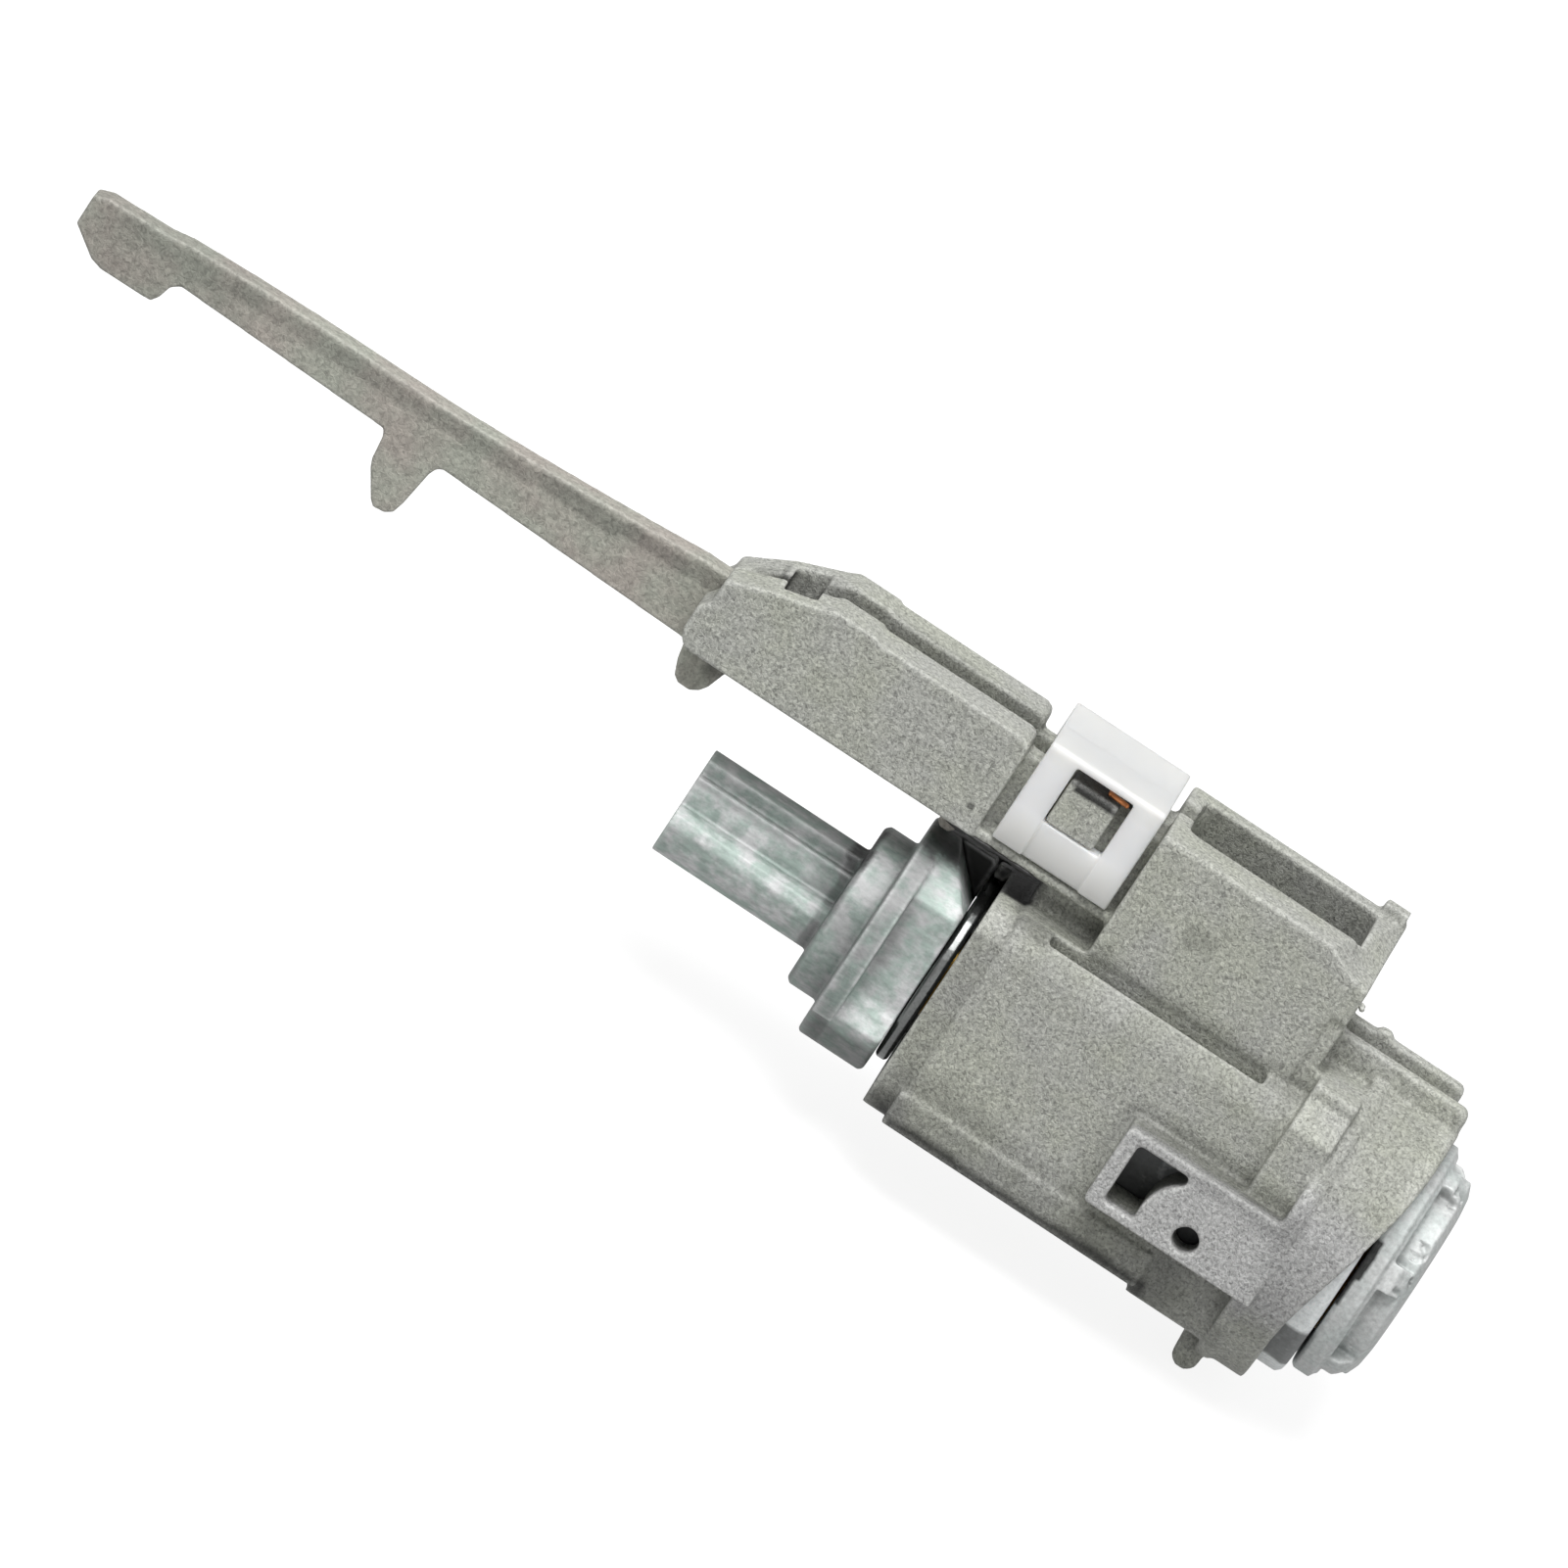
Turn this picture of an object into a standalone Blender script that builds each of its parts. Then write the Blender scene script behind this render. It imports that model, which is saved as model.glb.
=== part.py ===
"""Ignition lock cylinder with its die-cast housing and lock lever.

The barrel axis is +X, towards the key face. +Z points from the barrel to the
lever guide. The origin is on the barrel axis at the rear rim of the housing.
Lengths are written in millimetres and scaled to metres when a mesh is made.
"""

import math

import bmesh
import bpy
from mathutils import Vector

MM = 0.001

# Clearances between touching parts and between moving parts
FIT = 0.3
RUN = 0.4

# Key plug
PLUG_R = 7.0
SHANK_R = 5.0
SHANK_LENGTH = 10.0
HEAD_R = 9.5
HEAD_LENGTH = 3.9
KEYWAY_HALF_WIDTH = 1.1
KEYWAY_HALF_HEIGHT = 4.0
TONGUE_LENGTH = 6.8
TONGUE_HALF_Y = 1.7
TONGUE_HALF_Z = 4.0

# Wafers
WAFER_COUNT = 7
WAFER_INSET = 5.0
WAFER_PITCH = 3.2
WAFER_THICK = 0.8
WAFER_HALF_WIDTH = 2.3
WAFER_SIDE_GAP = 0.15
WAFER_EAR = 1.7
WAFER_EAR_HEIGHT = 0.9
WAFER_STEP = 0.5
WAFER_TRAVEL = 0.8
WAFER_PROUD = 0.2
WAFER_SPRING_LENGTH = 4.7
WAFER_SPRING_R = 0.5
WAFER_SPRING_WIRE = 0.14

# Cylinder sleeve
SLEEVE_SETBACK = 0.2
SLEEVE_R = 11.8
SLEEVE_REAR_WALL = 3.8
SLEEVE_FLANGE_R = 15.4
SLEEVE_FLANGE_THICK = 6.5
WAFER_GROOVE_DEPTH = 2.1

# Front cap
CAP_LENGTH = 6.1
CAP_BASE_LENGTH = 2.6
CAP_BASE_R = 14.0
CAP_R = 13.3
CAP_FACE_THICK = 1.3
CAP_FACE_SINK = 0.8
CAP_NOSE_LENGTH = 2.2
CAP_NOSE_DROP = 4.6
CAP_LUGS = 6
CAP_LUG_ANGLE = 15.2
LUG_WIDTH_DEG = 14.0
LUG_DEPTH = 1.6

# Dust shutter
SHUTTER_INSET = 1.0
SHUTTER_Z = 5.0
SHUTTER_THICK = 0.8
SHUTTER_HALF = 2.4
SHUTTER_DROP = 9.4
SHUTTER_KNUCKLE_R = 0.9
SHUTTER_PIN_R = 0.4
SHUTTER_SPRING_WIDTH = 1.4

# Barrel of the housing
BARREL_LENGTH = 42.3
BARREL_WALL = 1.3
BARREL_CORNER = 3.7
REAR_BAND = 3.2
REAR_BAND_STEP = 0.5
REAR_LIP = 1.5
REAR_SKIRT_REACH = 1.1
REAR_SKIRT_WALL = 0.8
REAR_SKIRT_GAP = 0.35
CORNER_RIB_INSET = 2.7
CORNER_RIB_LENGTH = 30.8
CORNER_RIB_HEIGHT = 4.0
CORNER_RIB_PROUD = 0.5
LOWER_PAD_LENGTH = 9.3
LOWER_PAD_DROP = 0.8
VALLEY_WIDTH = 1.9
VALLEY_UNDERCUT = 0.2
VALLEY_DEPTH = 2.8
VALLEY_INSET = 7.0
VALLEY_LENGTH = 26.0

# Front band, flange and collar of the housing
BAND_LENGTH = 4.8
BAND_SIDE_PROUD = 2.0
BAND_TOP_PROUD = 3.1
BAND_CORNER_STEP = 3.2
BAND_CORNER_DROP = 1.6
FLANGE_THICK = 1.9
FLANGE_STEP = 0.4
COLLAR_WALL = 2.0
COLLAR_LENGTH = 8.5
COLLAR_SWEEP = 4.7
COLLAR_SWEEP_LOW = -9.5
COLLAR_SWEEP_HIGH = 16.5
COLLAR_HEEL = 1.6
TAB_WIDTH = 8.0
TAB_THICK = 3.0
TAB_DROP = 2.2
TAB_SET_BACK = 0.6

# Rails on top of the collar
RAIL_BACK_SET = 5.4
RAIL_FRONT_SHORT = 0.3
RAIL_REAR_SHORT = 1.8
RAIL_RISE = 2.1
RAIL_WIDTH = 1.6
RAIL_SLOT = 3.9
RAIL_CENTRE_Y = -0.6
RAIL_NUB = 2.0

# Block with the window and the release hole
BLOCK_LENGTH = 18.2
BLOCK_PROUD = 0.2
BLOCK_LOW = -5.8
BLOCK_HIGH = 3.6
WINDOW_INSET = 1.8
WINDOW_LENGTH = 6.1
WINDOW_LOW = -4.7
WINDOW_HIGH = 2.4
RELEASE_SET_BACK = 7.2
RELEASE_Z = -3.45
RELEASE_HOLE_R = 1.45
RELEASE_HOLE_DEPTH = 3.7
RELEASE_BOSS_R = 5.7
RELEASE_PIN_R = 1.8
RELEASE_PIN_TRAVEL = 2.4
RELEASE_SPRING_R = 0.7

# Rear rotor
WASHER_R = 10.85
WASHER_THICK = 1.4
WASHER_GAP = 0.15
DISC_GAP = 0.15
DISC_LENGTH = 7.8
DISC_R = 13.1
CAM_WIDTH = 2.4
CAM_RISE = 1.2
CAM_TURN_DEG = 110.0
DISC_POCKET_DEPTH = 3.3
DISC_POCKET_LOW = -3.1
DISC_POCKET_HIGH = 9.2
DISC_POCKET_RUN = 6.2
RAMP_LENGTH = 4.5
RAMP_DROP = 5.0
RAMP_TILT = 0.14
RAMP_FAR_Y = 1.0
ROTOR_COLLAR_LENGTH = 3.8
ROTOR_COLLAR_R = 9.55
TAIL_LENGTH = 18.8
TAIL_R = 5.8
TAIL_TOP = 6.0
TAIL_STEPS = [(2.0, 4.3), (3.2, 0.9)]
TAIL_SHOULDER = 4.4
RING_R = 6.6
RING_THICK = 0.8
RING_INSET = 0.7
RING_GROOVE_DEPTH = 0.8

# Lever guide
GUIDE_END = -5.5
GUIDE_LENGTH = 36.2
GUIDE_HALF = 7.3
GUIDE_GAP = 2.1
GUIDE_HEIGHT = 12.0
GUIDE_FLOOR = 2.0
GUIDE_PAD = 0.35
GUIDE_SLOPE = 11.2
GUIDE_NOSE_HEIGHT = 8.6
SLOT_Y = 0.25
SLOT_WIDTH = 4.3
PIVOT_INSET = 8.15
PIVOT_POCKET = 3.5
PIVOT_POCKET_HALF = 5.0
LEDGE_DROP = 1.8
LEDGE_HALF = 5.0
WEB_START = 3.0

# Nylon clip and the boss that it snaps over
CLIP_START = -3.9
CLIP_LENGTH = 13.8
CLIP_WALL = 2.4
CLIP_PLATE = 1.0
CLIP_HEIGHT = 12.1
CLIP_MARGIN = 3.5
CLIP_WINDOW = 6.9
CLIP_HOLLOW = 0.4
SPRING_ROOM = 2.4
BOSS_LENGTH = 5.7
BOSS_RISE = 1.2
BOSS_HEIGHT = 5.5
BOSS_GAP = 0.15
BOSS_PROUD = 2.3

# Open box beside the clip
BOX_GAP = 0.9
BOX_SET_BACK = 5.5
BOX_HALF = 9.3
BOX_RISE = 0.4
BOX_REAR_WALL = 1.9
BOX_FRONT_WALL = 3.1
BOX_NEAR_WALL = 5.5
BOX_FAR_WALL = 2.3
BOX_FLOOR = 2.2
BOX_CORNER = 1.2
BOX_SLOPE_LENGTH = 5.6
BOX_SLOPE_DROP = 2.3
BOX_SLOPE_SKEW = 0.3
BOX_EAR_RISE = 1.4

# Lock lever
LEVER_THICK = 3.0
LEVER_REACH = 82.55
LEVER_INNER_GAP = 2.2
LEVER_INNER_HEIGHT = 4.2
LEVER_GUIDE_TOP = 2.5
LEVER_GUIDE_LOW = 6.0
LEVER_TIP_TOP = 0.2
LEVER_TIP_LOW = 4.1
LEVER_TIP_FOOT = 12.5
LEVER_TIP_FOOT_DEPTH = 3.1
LEVER_HOOK_AT = 44.9
LEVER_HOOK_WIDTH = 7.4
LEVER_HOOK_DEPTH = 7.6
LEVER_LOBE_AT = 7.4
LEVER_LOBE_WIDTH = 5.8
LEVER_LOBE_DEPTH = 4.3
LEVER_BOW = 0.42
LEVER_STEP = 0.3
LEVER_STEP_LENGTH = 9.0
LEVER_DIP = 0.25
LEVER_DIP_AT = 23.4
LEVER_DIP_LENGTH = 1.5
TRUNNION_R = 1.5
TRUNNION_SEAT = 2.4
FOOT_WIDTH = 2.0

# Springs
RETURN_WIRE = 0.45
LEVER_SPRING_R = 1.4
LEVER_WIRE = 0.28

# Positions that follow from the sizes
SLEEVE_BORE_R = PLUG_R + FIT
BARREL_BORE_R = SLEEVE_R + FIT
BARREL_HALF = BARREL_BORE_R + BARREL_WALL
COLLAR_BORE_R = SLEEVE_FLANGE_R + RUN
COLLAR_R = COLLAR_BORE_R + COLLAR_WALL
FLANGE_R = COLLAR_R + FLANGE_STEP
FLANGE_END = BARREL_LENGTH + FLANGE_THICK
COLLAR_END = FLANGE_END + COLLAR_LENGTH
BAND_SIDE = BARREL_HALF + BAND_SIDE_PROUD
BAND_TOP = BARREL_HALF + BAND_TOP_PROUD
SLEEVE_FLANGE_START = FLANGE_END + FIT
SLEEVE_END = SLEEVE_FLANGE_START + SLEEVE_FLANGE_THICK
CAP_START = SLEEVE_END + RUN
CAP_BASE_END = CAP_START + CAP_BASE_LENGTH
CAP_END = CAP_START + CAP_LENGTH
HEAD_START = SLEEVE_END + FIT
HEAD_END = HEAD_START + HEAD_LENGTH
SHUTTER_X = HEAD_END - SHUTTER_INSET
WAFER_FIRST = SHANK_LENGTH + WAFER_INSET
WAFER_LAST = WAFER_FIRST + WAFER_PITCH * (WAFER_COUNT - 1)
WAFER_HALF_HEIGHT = math.sqrt(PLUG_R ** 2 - WAFER_HALF_WIDTH ** 2) - 0.1
BLOCK_FACE = COLLAR_R + BLOCK_PROUD
BLOCK_START = BARREL_LENGTH - BLOCK_LENGTH
WINDOW_START = BLOCK_START + WINDOW_INSET
RELEASE_X = BARREL_LENGTH - RELEASE_SET_BACK
WASHER_START = -WASHER_GAP - WASHER_THICK
DISC_END = WASHER_START - DISC_GAP
DISC_START = DISC_END - DISC_LENGTH
CAM_END = DISC_START + CAM_WIDTH
ROTOR_COLLAR_START = DISC_START - ROTOR_COLLAR_LENGTH
TAIL_START = ROTOR_COLLAR_START - TAIL_LENGTH
RING_START = DISC_END - RING_INSET
TONGUE_END = DISC_END - TONGUE_LENGTH
GUIDE_START = GUIDE_END - GUIDE_LENGTH
GUIDE_BOTTOM = DISC_R + CAM_RISE + GUIDE_GAP
GUIDE_TOP = GUIDE_BOTTOM + GUIDE_HEIGHT
SLOT_FLOOR = GUIDE_BOTTOM + GUIDE_FLOOR
SLOT_FRONT = SLOT_Y - SLOT_WIDTH / 2.0
SLOT_BACK = SLOT_Y + SLOT_WIDTH / 2.0
PIVOT_X = GUIDE_START + PIVOT_INSET
PIVOT_Z = SLOT_FLOOR + RUN + TRUNNION_SEAT
FOOT_X = DISC_START + CAM_WIDTH / 2.0
LEDGE_TOP = GUIDE_TOP - LEDGE_DROP
CLIP_INNER = LEDGE_HALF + FIT
CLIP_OUTER = CLIP_INNER + CLIP_WALL
CLIP_END = CLIP_START + CLIP_LENGTH
CLIP_TOP = LEDGE_TOP + SPRING_ROOM + CLIP_PLATE
CLIP_BOTTOM = CLIP_TOP - CLIP_HEIGHT
BOSS_START = CLIP_START + CLIP_MARGIN + BOSS_GAP
BOSS_HIGH = LEDGE_TOP + BOSS_RISE
BOSS_LOW = BOSS_HIGH - BOSS_HEIGHT
BOX_START = CLIP_END + BOX_GAP
BOX_END = BARREL_LENGTH - BOX_SET_BACK
BOX_TOP = GUIDE_TOP + BOX_RISE
SLOT_END = BOX_START - BOX_GAP
LEVER_INNER_END = BOX_START - LEVER_INNER_GAP
LEVER_TIP = PIVOT_X - LEVER_REACH
LEVER_FRONT = SLOT_Y - LEVER_THICK / 2.0
LEVER_BACK = SLOT_Y + LEVER_THICK / 2.0
SPRING_X = BOSS_START + BOSS_LENGTH / 2.0


def clear_scene():
    for item in list(bpy.data.objects):
        bpy.data.objects.remove(item, do_unlink=True)


def material(name, colour, roughness, metallic):
    made = bpy.data.materials.new(name)
    made.use_nodes = True
    shader = made.node_tree.nodes["Principled BSDF"]
    shader.inputs["Base Color"].default_value = (*colour, 1.0)
    shader.inputs["Roughness"].default_value = roughness
    shader.inputs["Metallic"].default_value = metallic
    return made


def finish_mesh(name, bm, look=None, centre=(0.0, 0.0, 0.0)):
    """Turns a bmesh in millimetres into an object whose origin is at centre."""
    bmesh.ops.recalc_face_normals(bm, faces=bm.faces)
    bmesh.ops.translate(bm, verts=bm.verts, vec=-Vector(centre))
    bmesh.ops.scale(bm, verts=bm.verts, vec=(MM, MM, MM))
    mesh = bpy.data.meshes.new(name)
    bm.to_mesh(mesh)
    bm.free()
    made = bpy.data.objects.new(name, mesh)
    made.location = Vector(centre) * MM
    bpy.context.scene.collection.objects.link(made)
    if look is None:
        made.hide_render = True
        made.display_type = "WIRE"
    else:
        mesh.materials.append(look)
        mesh.shade_smooth()
        mesh.set_sharp_from_angle(angle=math.radians(35))
    return made


def prism(name, outline, axis, start, end, look=None, centre=(0.0, 0.0, 0.0)):
    """Extrudes a closed outline along X, Y or Z.

    Outline points are (y, z) for axis X, (x, z) for Y and (x, y) for Z.
    """
    bm = bmesh.new()
    place = {
        "X": lambda p: (start, p[0], p[1]),
        "Y": lambda p: (p[0], start, p[1]),
        "Z": lambda p: (p[0], p[1], start),
    }[axis]
    step = {
        "X": (end - start, 0.0, 0.0),
        "Y": (0.0, end - start, 0.0),
        "Z": (0.0, 0.0, end - start),
    }[axis]
    ring = [bm.verts.new(place(point)) for point in outline]
    face = bm.faces.new(ring)
    made = bmesh.ops.extrude_face_region(bm, geom=[face])
    moved = [item for item in made["geom"] if isinstance(item, bmesh.types.BMVert)]
    bmesh.ops.translate(bm, verts=moved, vec=step)
    return finish_mesh(name, bm, look, centre)


def box(name, x, y, z, look=None, centre=(0.0, 0.0, 0.0)):
    outline = [(y[0], z[0]), (y[1], z[0]), (y[1], z[1]), (y[0], z[1])]
    return prism(name, outline, "X", x[0], x[1], look, centre)


def turned(name, profile, look=None, steps=48, centre=(0.0, 0.0, 0.0)):
    """Spins a closed (x, r) profile about the X axis."""
    bm = bmesh.new()
    rows = []
    for index in range(steps):
        angle = 2.0 * math.pi * index / steps
        row = []
        for x, r in profile:
            row.append(bm.verts.new((x, r * math.cos(angle), r * math.sin(angle))))
        rows.append(row)
    count = len(profile)
    for index in range(steps):
        row, after = rows[index], rows[(index + 1) % steps]
        for j in range(count):
            k = (j + 1) % count
            bm.faces.new((row[j], row[k], after[k], after[j]))
    bmesh.ops.remove_doubles(bm, verts=bm.verts, dist=0.0001)
    bmesh.ops.dissolve_degenerate(bm, edges=bm.edges, dist=0.0001)
    return finish_mesh(name, bm, look, centre)


def cylinder(name, axis, at, radius, start, end, look=None, steps=32):
    """A plain cylinder along axis; at holds the two other coordinates."""
    outline = circle(at[0], at[1], radius, steps)
    return prism(name, outline, axis, start, end, look)


def circle(u, v, radius, steps=32):
    points = []
    for index in range(steps):
        angle = 2.0 * math.pi * index / steps
        points.append((u + radius * math.cos(angle), v + radius * math.sin(angle)))
    return points


def arc(u, v, radius, first, last, steps):
    points = []
    for index in range(steps + 1):
        angle = math.radians(first + (last - first) * index / steps)
        points.append((u + radius * math.cos(angle), v + radius * math.sin(angle)))
    return points


def rounded(u, v, radius, steps=4):
    """A rectangle from u[0], v[0] to u[1], v[1] with round corners."""
    points = arc(u[1] - radius, v[1] - radius, radius, 0, 90, steps)
    points += arc(u[0] + radius, v[1] - radius, radius, 90, 180, steps)
    points += arc(u[0] + radius, v[0] + radius, radius, 180, 270, steps)
    points += arc(u[1] - radius, v[0] + radius, radius, 270, 360, steps)
    return points


def cut(target, *cutters):
    for cutter in cutters:
        step = target.modifiers.new("cut " + cutter.name, "BOOLEAN")
        step.operation = "DIFFERENCE"
        step.solver = "EXACT"
        step.object = cutter


def fuse(target, *others):
    for other in others:
        step = target.modifiers.new("add " + other.name, "BOOLEAN")
        step.operation = "UNION"
        step.solver = "EXACT"
        step.object = other


def coil(name, base, axis, radius, wire, height, turns, look, per_turn=12, sides=6):
    """A round-wire coil whose ends are capped; base is the centre of one end."""
    up = Vector(axis).normalized()
    side = up.orthogonal().normalized()
    across = up.cross(side)
    bm = bmesh.new()
    rows = []
    count = int(turns * per_turn)
    rise = height - 2.0 * wire
    for index in range(count + 1):
        part = index / count
        angle = 2.0 * math.pi * turns * part
        out = side * math.cos(angle) + across * math.sin(angle)
        middle = Vector(base) + up * (wire + rise * part) + out * radius
        row = []
        for j in range(sides):
            turn = 2.0 * math.pi * j / sides
            offset = out * math.cos(turn) + up * math.sin(turn)
            row.append(bm.verts.new(middle + offset * wire))
        rows.append(row)
    for row, after in zip(rows, rows[1:]):
        for j in range(sides):
            k = (j + 1) % sides
            bm.faces.new((row[j], row[k], after[k], after[j]))
    bm.faces.new(list(reversed(rows[0])))
    bm.faces.new(rows[-1])
    return finish_mesh(name, bm, look)


def collar_edge(z):
    """X of the collar's swept front edge at height z."""
    part = (z - COLLAR_SWEEP_LOW) / (COLLAR_SWEEP_HIGH - COLLAR_SWEEP_LOW)
    part = min(1.0, max(0.0, part))
    blend = part * part * (3.0 - 2.0 * part)
    return COLLAR_END - COLLAR_SWEEP * (1.0 - blend)


clear_scene()

ZINC = material("cast zinc", (0.36, 0.36, 0.31), 0.62, 0.35)
LEVER_ZINC = material("lever zinc", (0.30, 0.30, 0.27), 0.5, 0.45)
BRIGHT_ZINC = material("bright zinc", (0.50, 0.54, 0.53), 0.32, 0.85)
NYLON = material("white nylon", (0.84, 0.84, 0.82), 0.45, 0.0)
BRASS = material("brass", (0.72, 0.52, 0.22), 0.35, 0.9)
STEEL = material("spring steel", (0.45, 0.45, 0.46), 0.3, 0.95)
BRONZE = material("bronze wire", (0.55, 0.30, 0.16), 0.35, 0.9)


# Housing: one zinc casting, built up from its barrel
def make_housing():
    half = BARREL_HALF
    section = rounded((-half, half), (-half, half), BARREL_CORNER, 5)
    housing = prism("lock_housing", section, "X", REAR_BAND, BARREL_LENGTH, ZINC)

    inset = half - REAR_BAND_STEP
    rear = rounded((-inset, inset), (-inset, inset), BARREL_CORNER, 5)
    rear_band = prism("rear band", rear, "X", 0.0, REAR_BAND + 0.5)
    lip_outline = arc(0.0, 0.0, inset, 20.0, 85.0, 10)
    lip_outline += arc(0.0, 0.0, WASHER_R + 0.5, 85.0, 20.0, 10)
    lip = prism("rear lip", lip_outline, "X", -REAR_LIP, 0.3)
    # A short skirt on the far side shields the joint to the rotor's disc
    skirt_in = DISC_R + REAR_SKIRT_GAP
    skirt_outline = arc(0.0, 0.0, skirt_in + REAR_SKIRT_WALL, 18.0, 62.0, 8)
    skirt_outline += arc(0.0, 0.0, skirt_in, 62.0, 18.0, 8)
    skirt = prism("rear skirt", skirt_outline, "X", -REAR_LIP - REAR_SKIRT_REACH, 0.3)

    rib_start = CORNER_RIB_INSET
    rib = box(
        "corner rib",
        (rib_start, rib_start + CORNER_RIB_LENGTH),
        (-half - CORNER_RIB_PROUD, -half + BARREL_CORNER),
        (-half + 1.1, -half + 1.1 + CORNER_RIB_HEIGHT),
    )
    low = half + LOWER_PAD_DROP
    pad_outline = rounded((-half, half), (-low, 0.0), BARREL_CORNER, 5)
    pad = prism("lower pad", pad_outline, "X", BARREL_LENGTH - LOWER_PAD_LENGTH,
                BARREL_LENGTH + 0.4)
    fuse(housing, rear_band, lip, skirt, rib, pad, make_front_band(), make_window_block())
    fuse(housing, *make_collar())
    fuse(housing, *make_rails())
    fuse(housing, *make_box())
    fuse(housing, *make_guide())

    valley = box("valley", (VALLEY_INSET, VALLEY_INSET + VALLEY_LENGTH),
                 (-BOX_HALF - VALLEY_WIDTH, -BOX_HALF + VALLEY_UNDERCUT),
                 (half - VALLEY_DEPTH, half + 0.3))
    cut(housing, valley)
    bore = cylinder("barrel bore", "X", (0.0, 0.0), BARREL_BORE_R, -0.1, FLANGE_END + 2.0,
                    steps=48)
    counterbore = cylinder("collar bore", "X", (0.0, 0.0), COLLAR_BORE_R,
                           FLANGE_END - 0.1, COLLAR_END + 5.0, steps=48)
    cut(housing, bore, counterbore)
    cut(housing, *slot_cutters())
    cut(housing, *release_cutters())
    return housing


def make_front_band():
    """The proud band behind the flange, with a stepped upper corner."""
    side, top = BAND_SIDE, BAND_TOP
    shoulder = side - BAND_CORNER_STEP
    outline = [
        (-side, BLOCK_LOW + 1.0), (side, BLOCK_LOW + 1.0),
        (side, top - BAND_CORNER_DROP - BAND_CORNER_STEP * 0.8),
        (shoulder, top - BAND_CORNER_DROP), (shoulder, top - 0.3), (shoulder - 0.3, top),
        (-shoulder + 0.3, top), (-shoulder, top - 0.3), (-shoulder, top - BAND_CORNER_DROP),
        (-side, top - BAND_CORNER_DROP - BAND_CORNER_STEP * 0.8),
    ]
    return prism("front band", outline, "X", BARREL_LENGTH - BAND_LENGTH,
                 BARREL_LENGTH + 0.3)


def make_window_block():
    outline = [
        (FLANGE_END, BLOCK_LOW), (FLANGE_END, BLOCK_HIGH),
    ]
    outline += arc(BLOCK_START + 0.6, BLOCK_HIGH - 0.6, 0.6, 90.0, 180.0, 3)
    outline += arc(BLOCK_START + 0.6, BLOCK_LOW + 0.6, 0.6, 180.0, 270.0, 3)
    return prism("window block", outline, "Y", -BLOCK_FACE, -BARREL_HALF + 2.0)


def make_collar():
    flange = turned(
        "flange",
        [(BARREL_LENGTH, 0.0), (BARREL_LENGTH, FLANGE_R - 0.3),
         (BARREL_LENGTH + 0.3, FLANGE_R), (FLANGE_END - 0.3, FLANGE_R),
         (FLANGE_END, FLANGE_R - 0.3), (FLANGE_END, 0.0)],
        steps=64,
    )
    flush = box("flange flat", (BARREL_LENGTH - 1.0, FLANGE_END + 1.0),
                (-FLANGE_R - 1.0, -BLOCK_FACE), (BLOCK_LOW - 1.0, BLOCK_HIGH + 1.0))
    cut(flange, flush)
    tip = FLANGE_R + TAB_DROP
    tab_start = FLANGE_END - TAB_SET_BACK - TAB_THICK
    round_r = TAB_THICK / 2.0
    tab_outline = arc(tab_start + round_r, -tip + round_r, round_r, 180.0, 360.0, 8)
    tab_outline += [(tab_start + TAB_THICK, -BARREL_HALF), (tab_start, -BARREL_HALF)]
    tab = prism("locating tab", tab_outline, "Y", -TAB_WIDTH / 2, TAB_WIDTH / 2)
    collar = turned(
        "collar",
        [(FLANGE_END - 0.5, 0.0), (FLANGE_END - 0.5, COLLAR_R),
         (COLLAR_END - 0.5, COLLAR_R), (COLLAR_END, COLLAR_R - 0.5), (COLLAR_END, 0.0)],
        steps=64,
    )
    clear = COLLAR_R + 4.0
    sweep = [(COLLAR_END + 5.0, clear)]
    for index in range(17):
        z = clear - 2.0 * clear * index / 16.0
        sweep.append((collar_edge(z), z))
    sweep.append((COLLAR_END + 5.0, -clear))
    sweep_cut = prism("collar sweep", sweep, "Y", -clear, clear)
    low_edge = COLLAR_END - COLLAR_SWEEP
    heel = COLLAR_HEEL
    heel_outline = [(low_edge - heel, -COLLAR_R)]
    heel_outline += arc(low_edge - heel, -COLLAR_R + heel, heel, 270.0, 360.0, 6)[1:]
    heel_outline += [(low_edge + 1.0, -COLLAR_R + heel), (low_edge + 1.0, -clear),
                     (low_edge - heel, -clear)]
    heel_cut = prism("collar heel", heel_outline, "Y", -clear, clear)
    cut(collar, sweep_cut, heel_cut)
    return flange, tab, collar


def make_rails():
    low = COLLAR_R - 3.0
    top = COLLAR_R + RAIL_RISE
    start = BARREL_LENGTH - RAIL_BACK_SET
    near = RAIL_CENTRE_Y - RAIL_SLOT / 2
    far = RAIL_CENTRE_Y + RAIL_SLOT / 2
    front_end = COLLAR_END - RAIL_FRONT_SHORT
    outline = [
        (start, low), (front_end, low), (front_end, top - 0.6), (front_end - 0.6, top),
        (start, top),
    ]
    front_rail = prism("front rail", outline, "Y", near - RAIL_WIDTH, near)
    back_end = COLLAR_END - RAIL_REAR_SHORT
    nub = start + 3.0
    outline = [
        (start, low), (back_end, low), (back_end, top - 0.6), (back_end - 0.6, top),
        (nub + RAIL_NUB, top), (nub + RAIL_NUB - 0.5, top + 0.6), (nub + 0.5, top + 0.6),
        (nub, top), (start, top),
    ]
    back_rail = prism("back rail", outline, "Y", far, far + RAIL_WIDTH)
    return front_rail, back_rail


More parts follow.
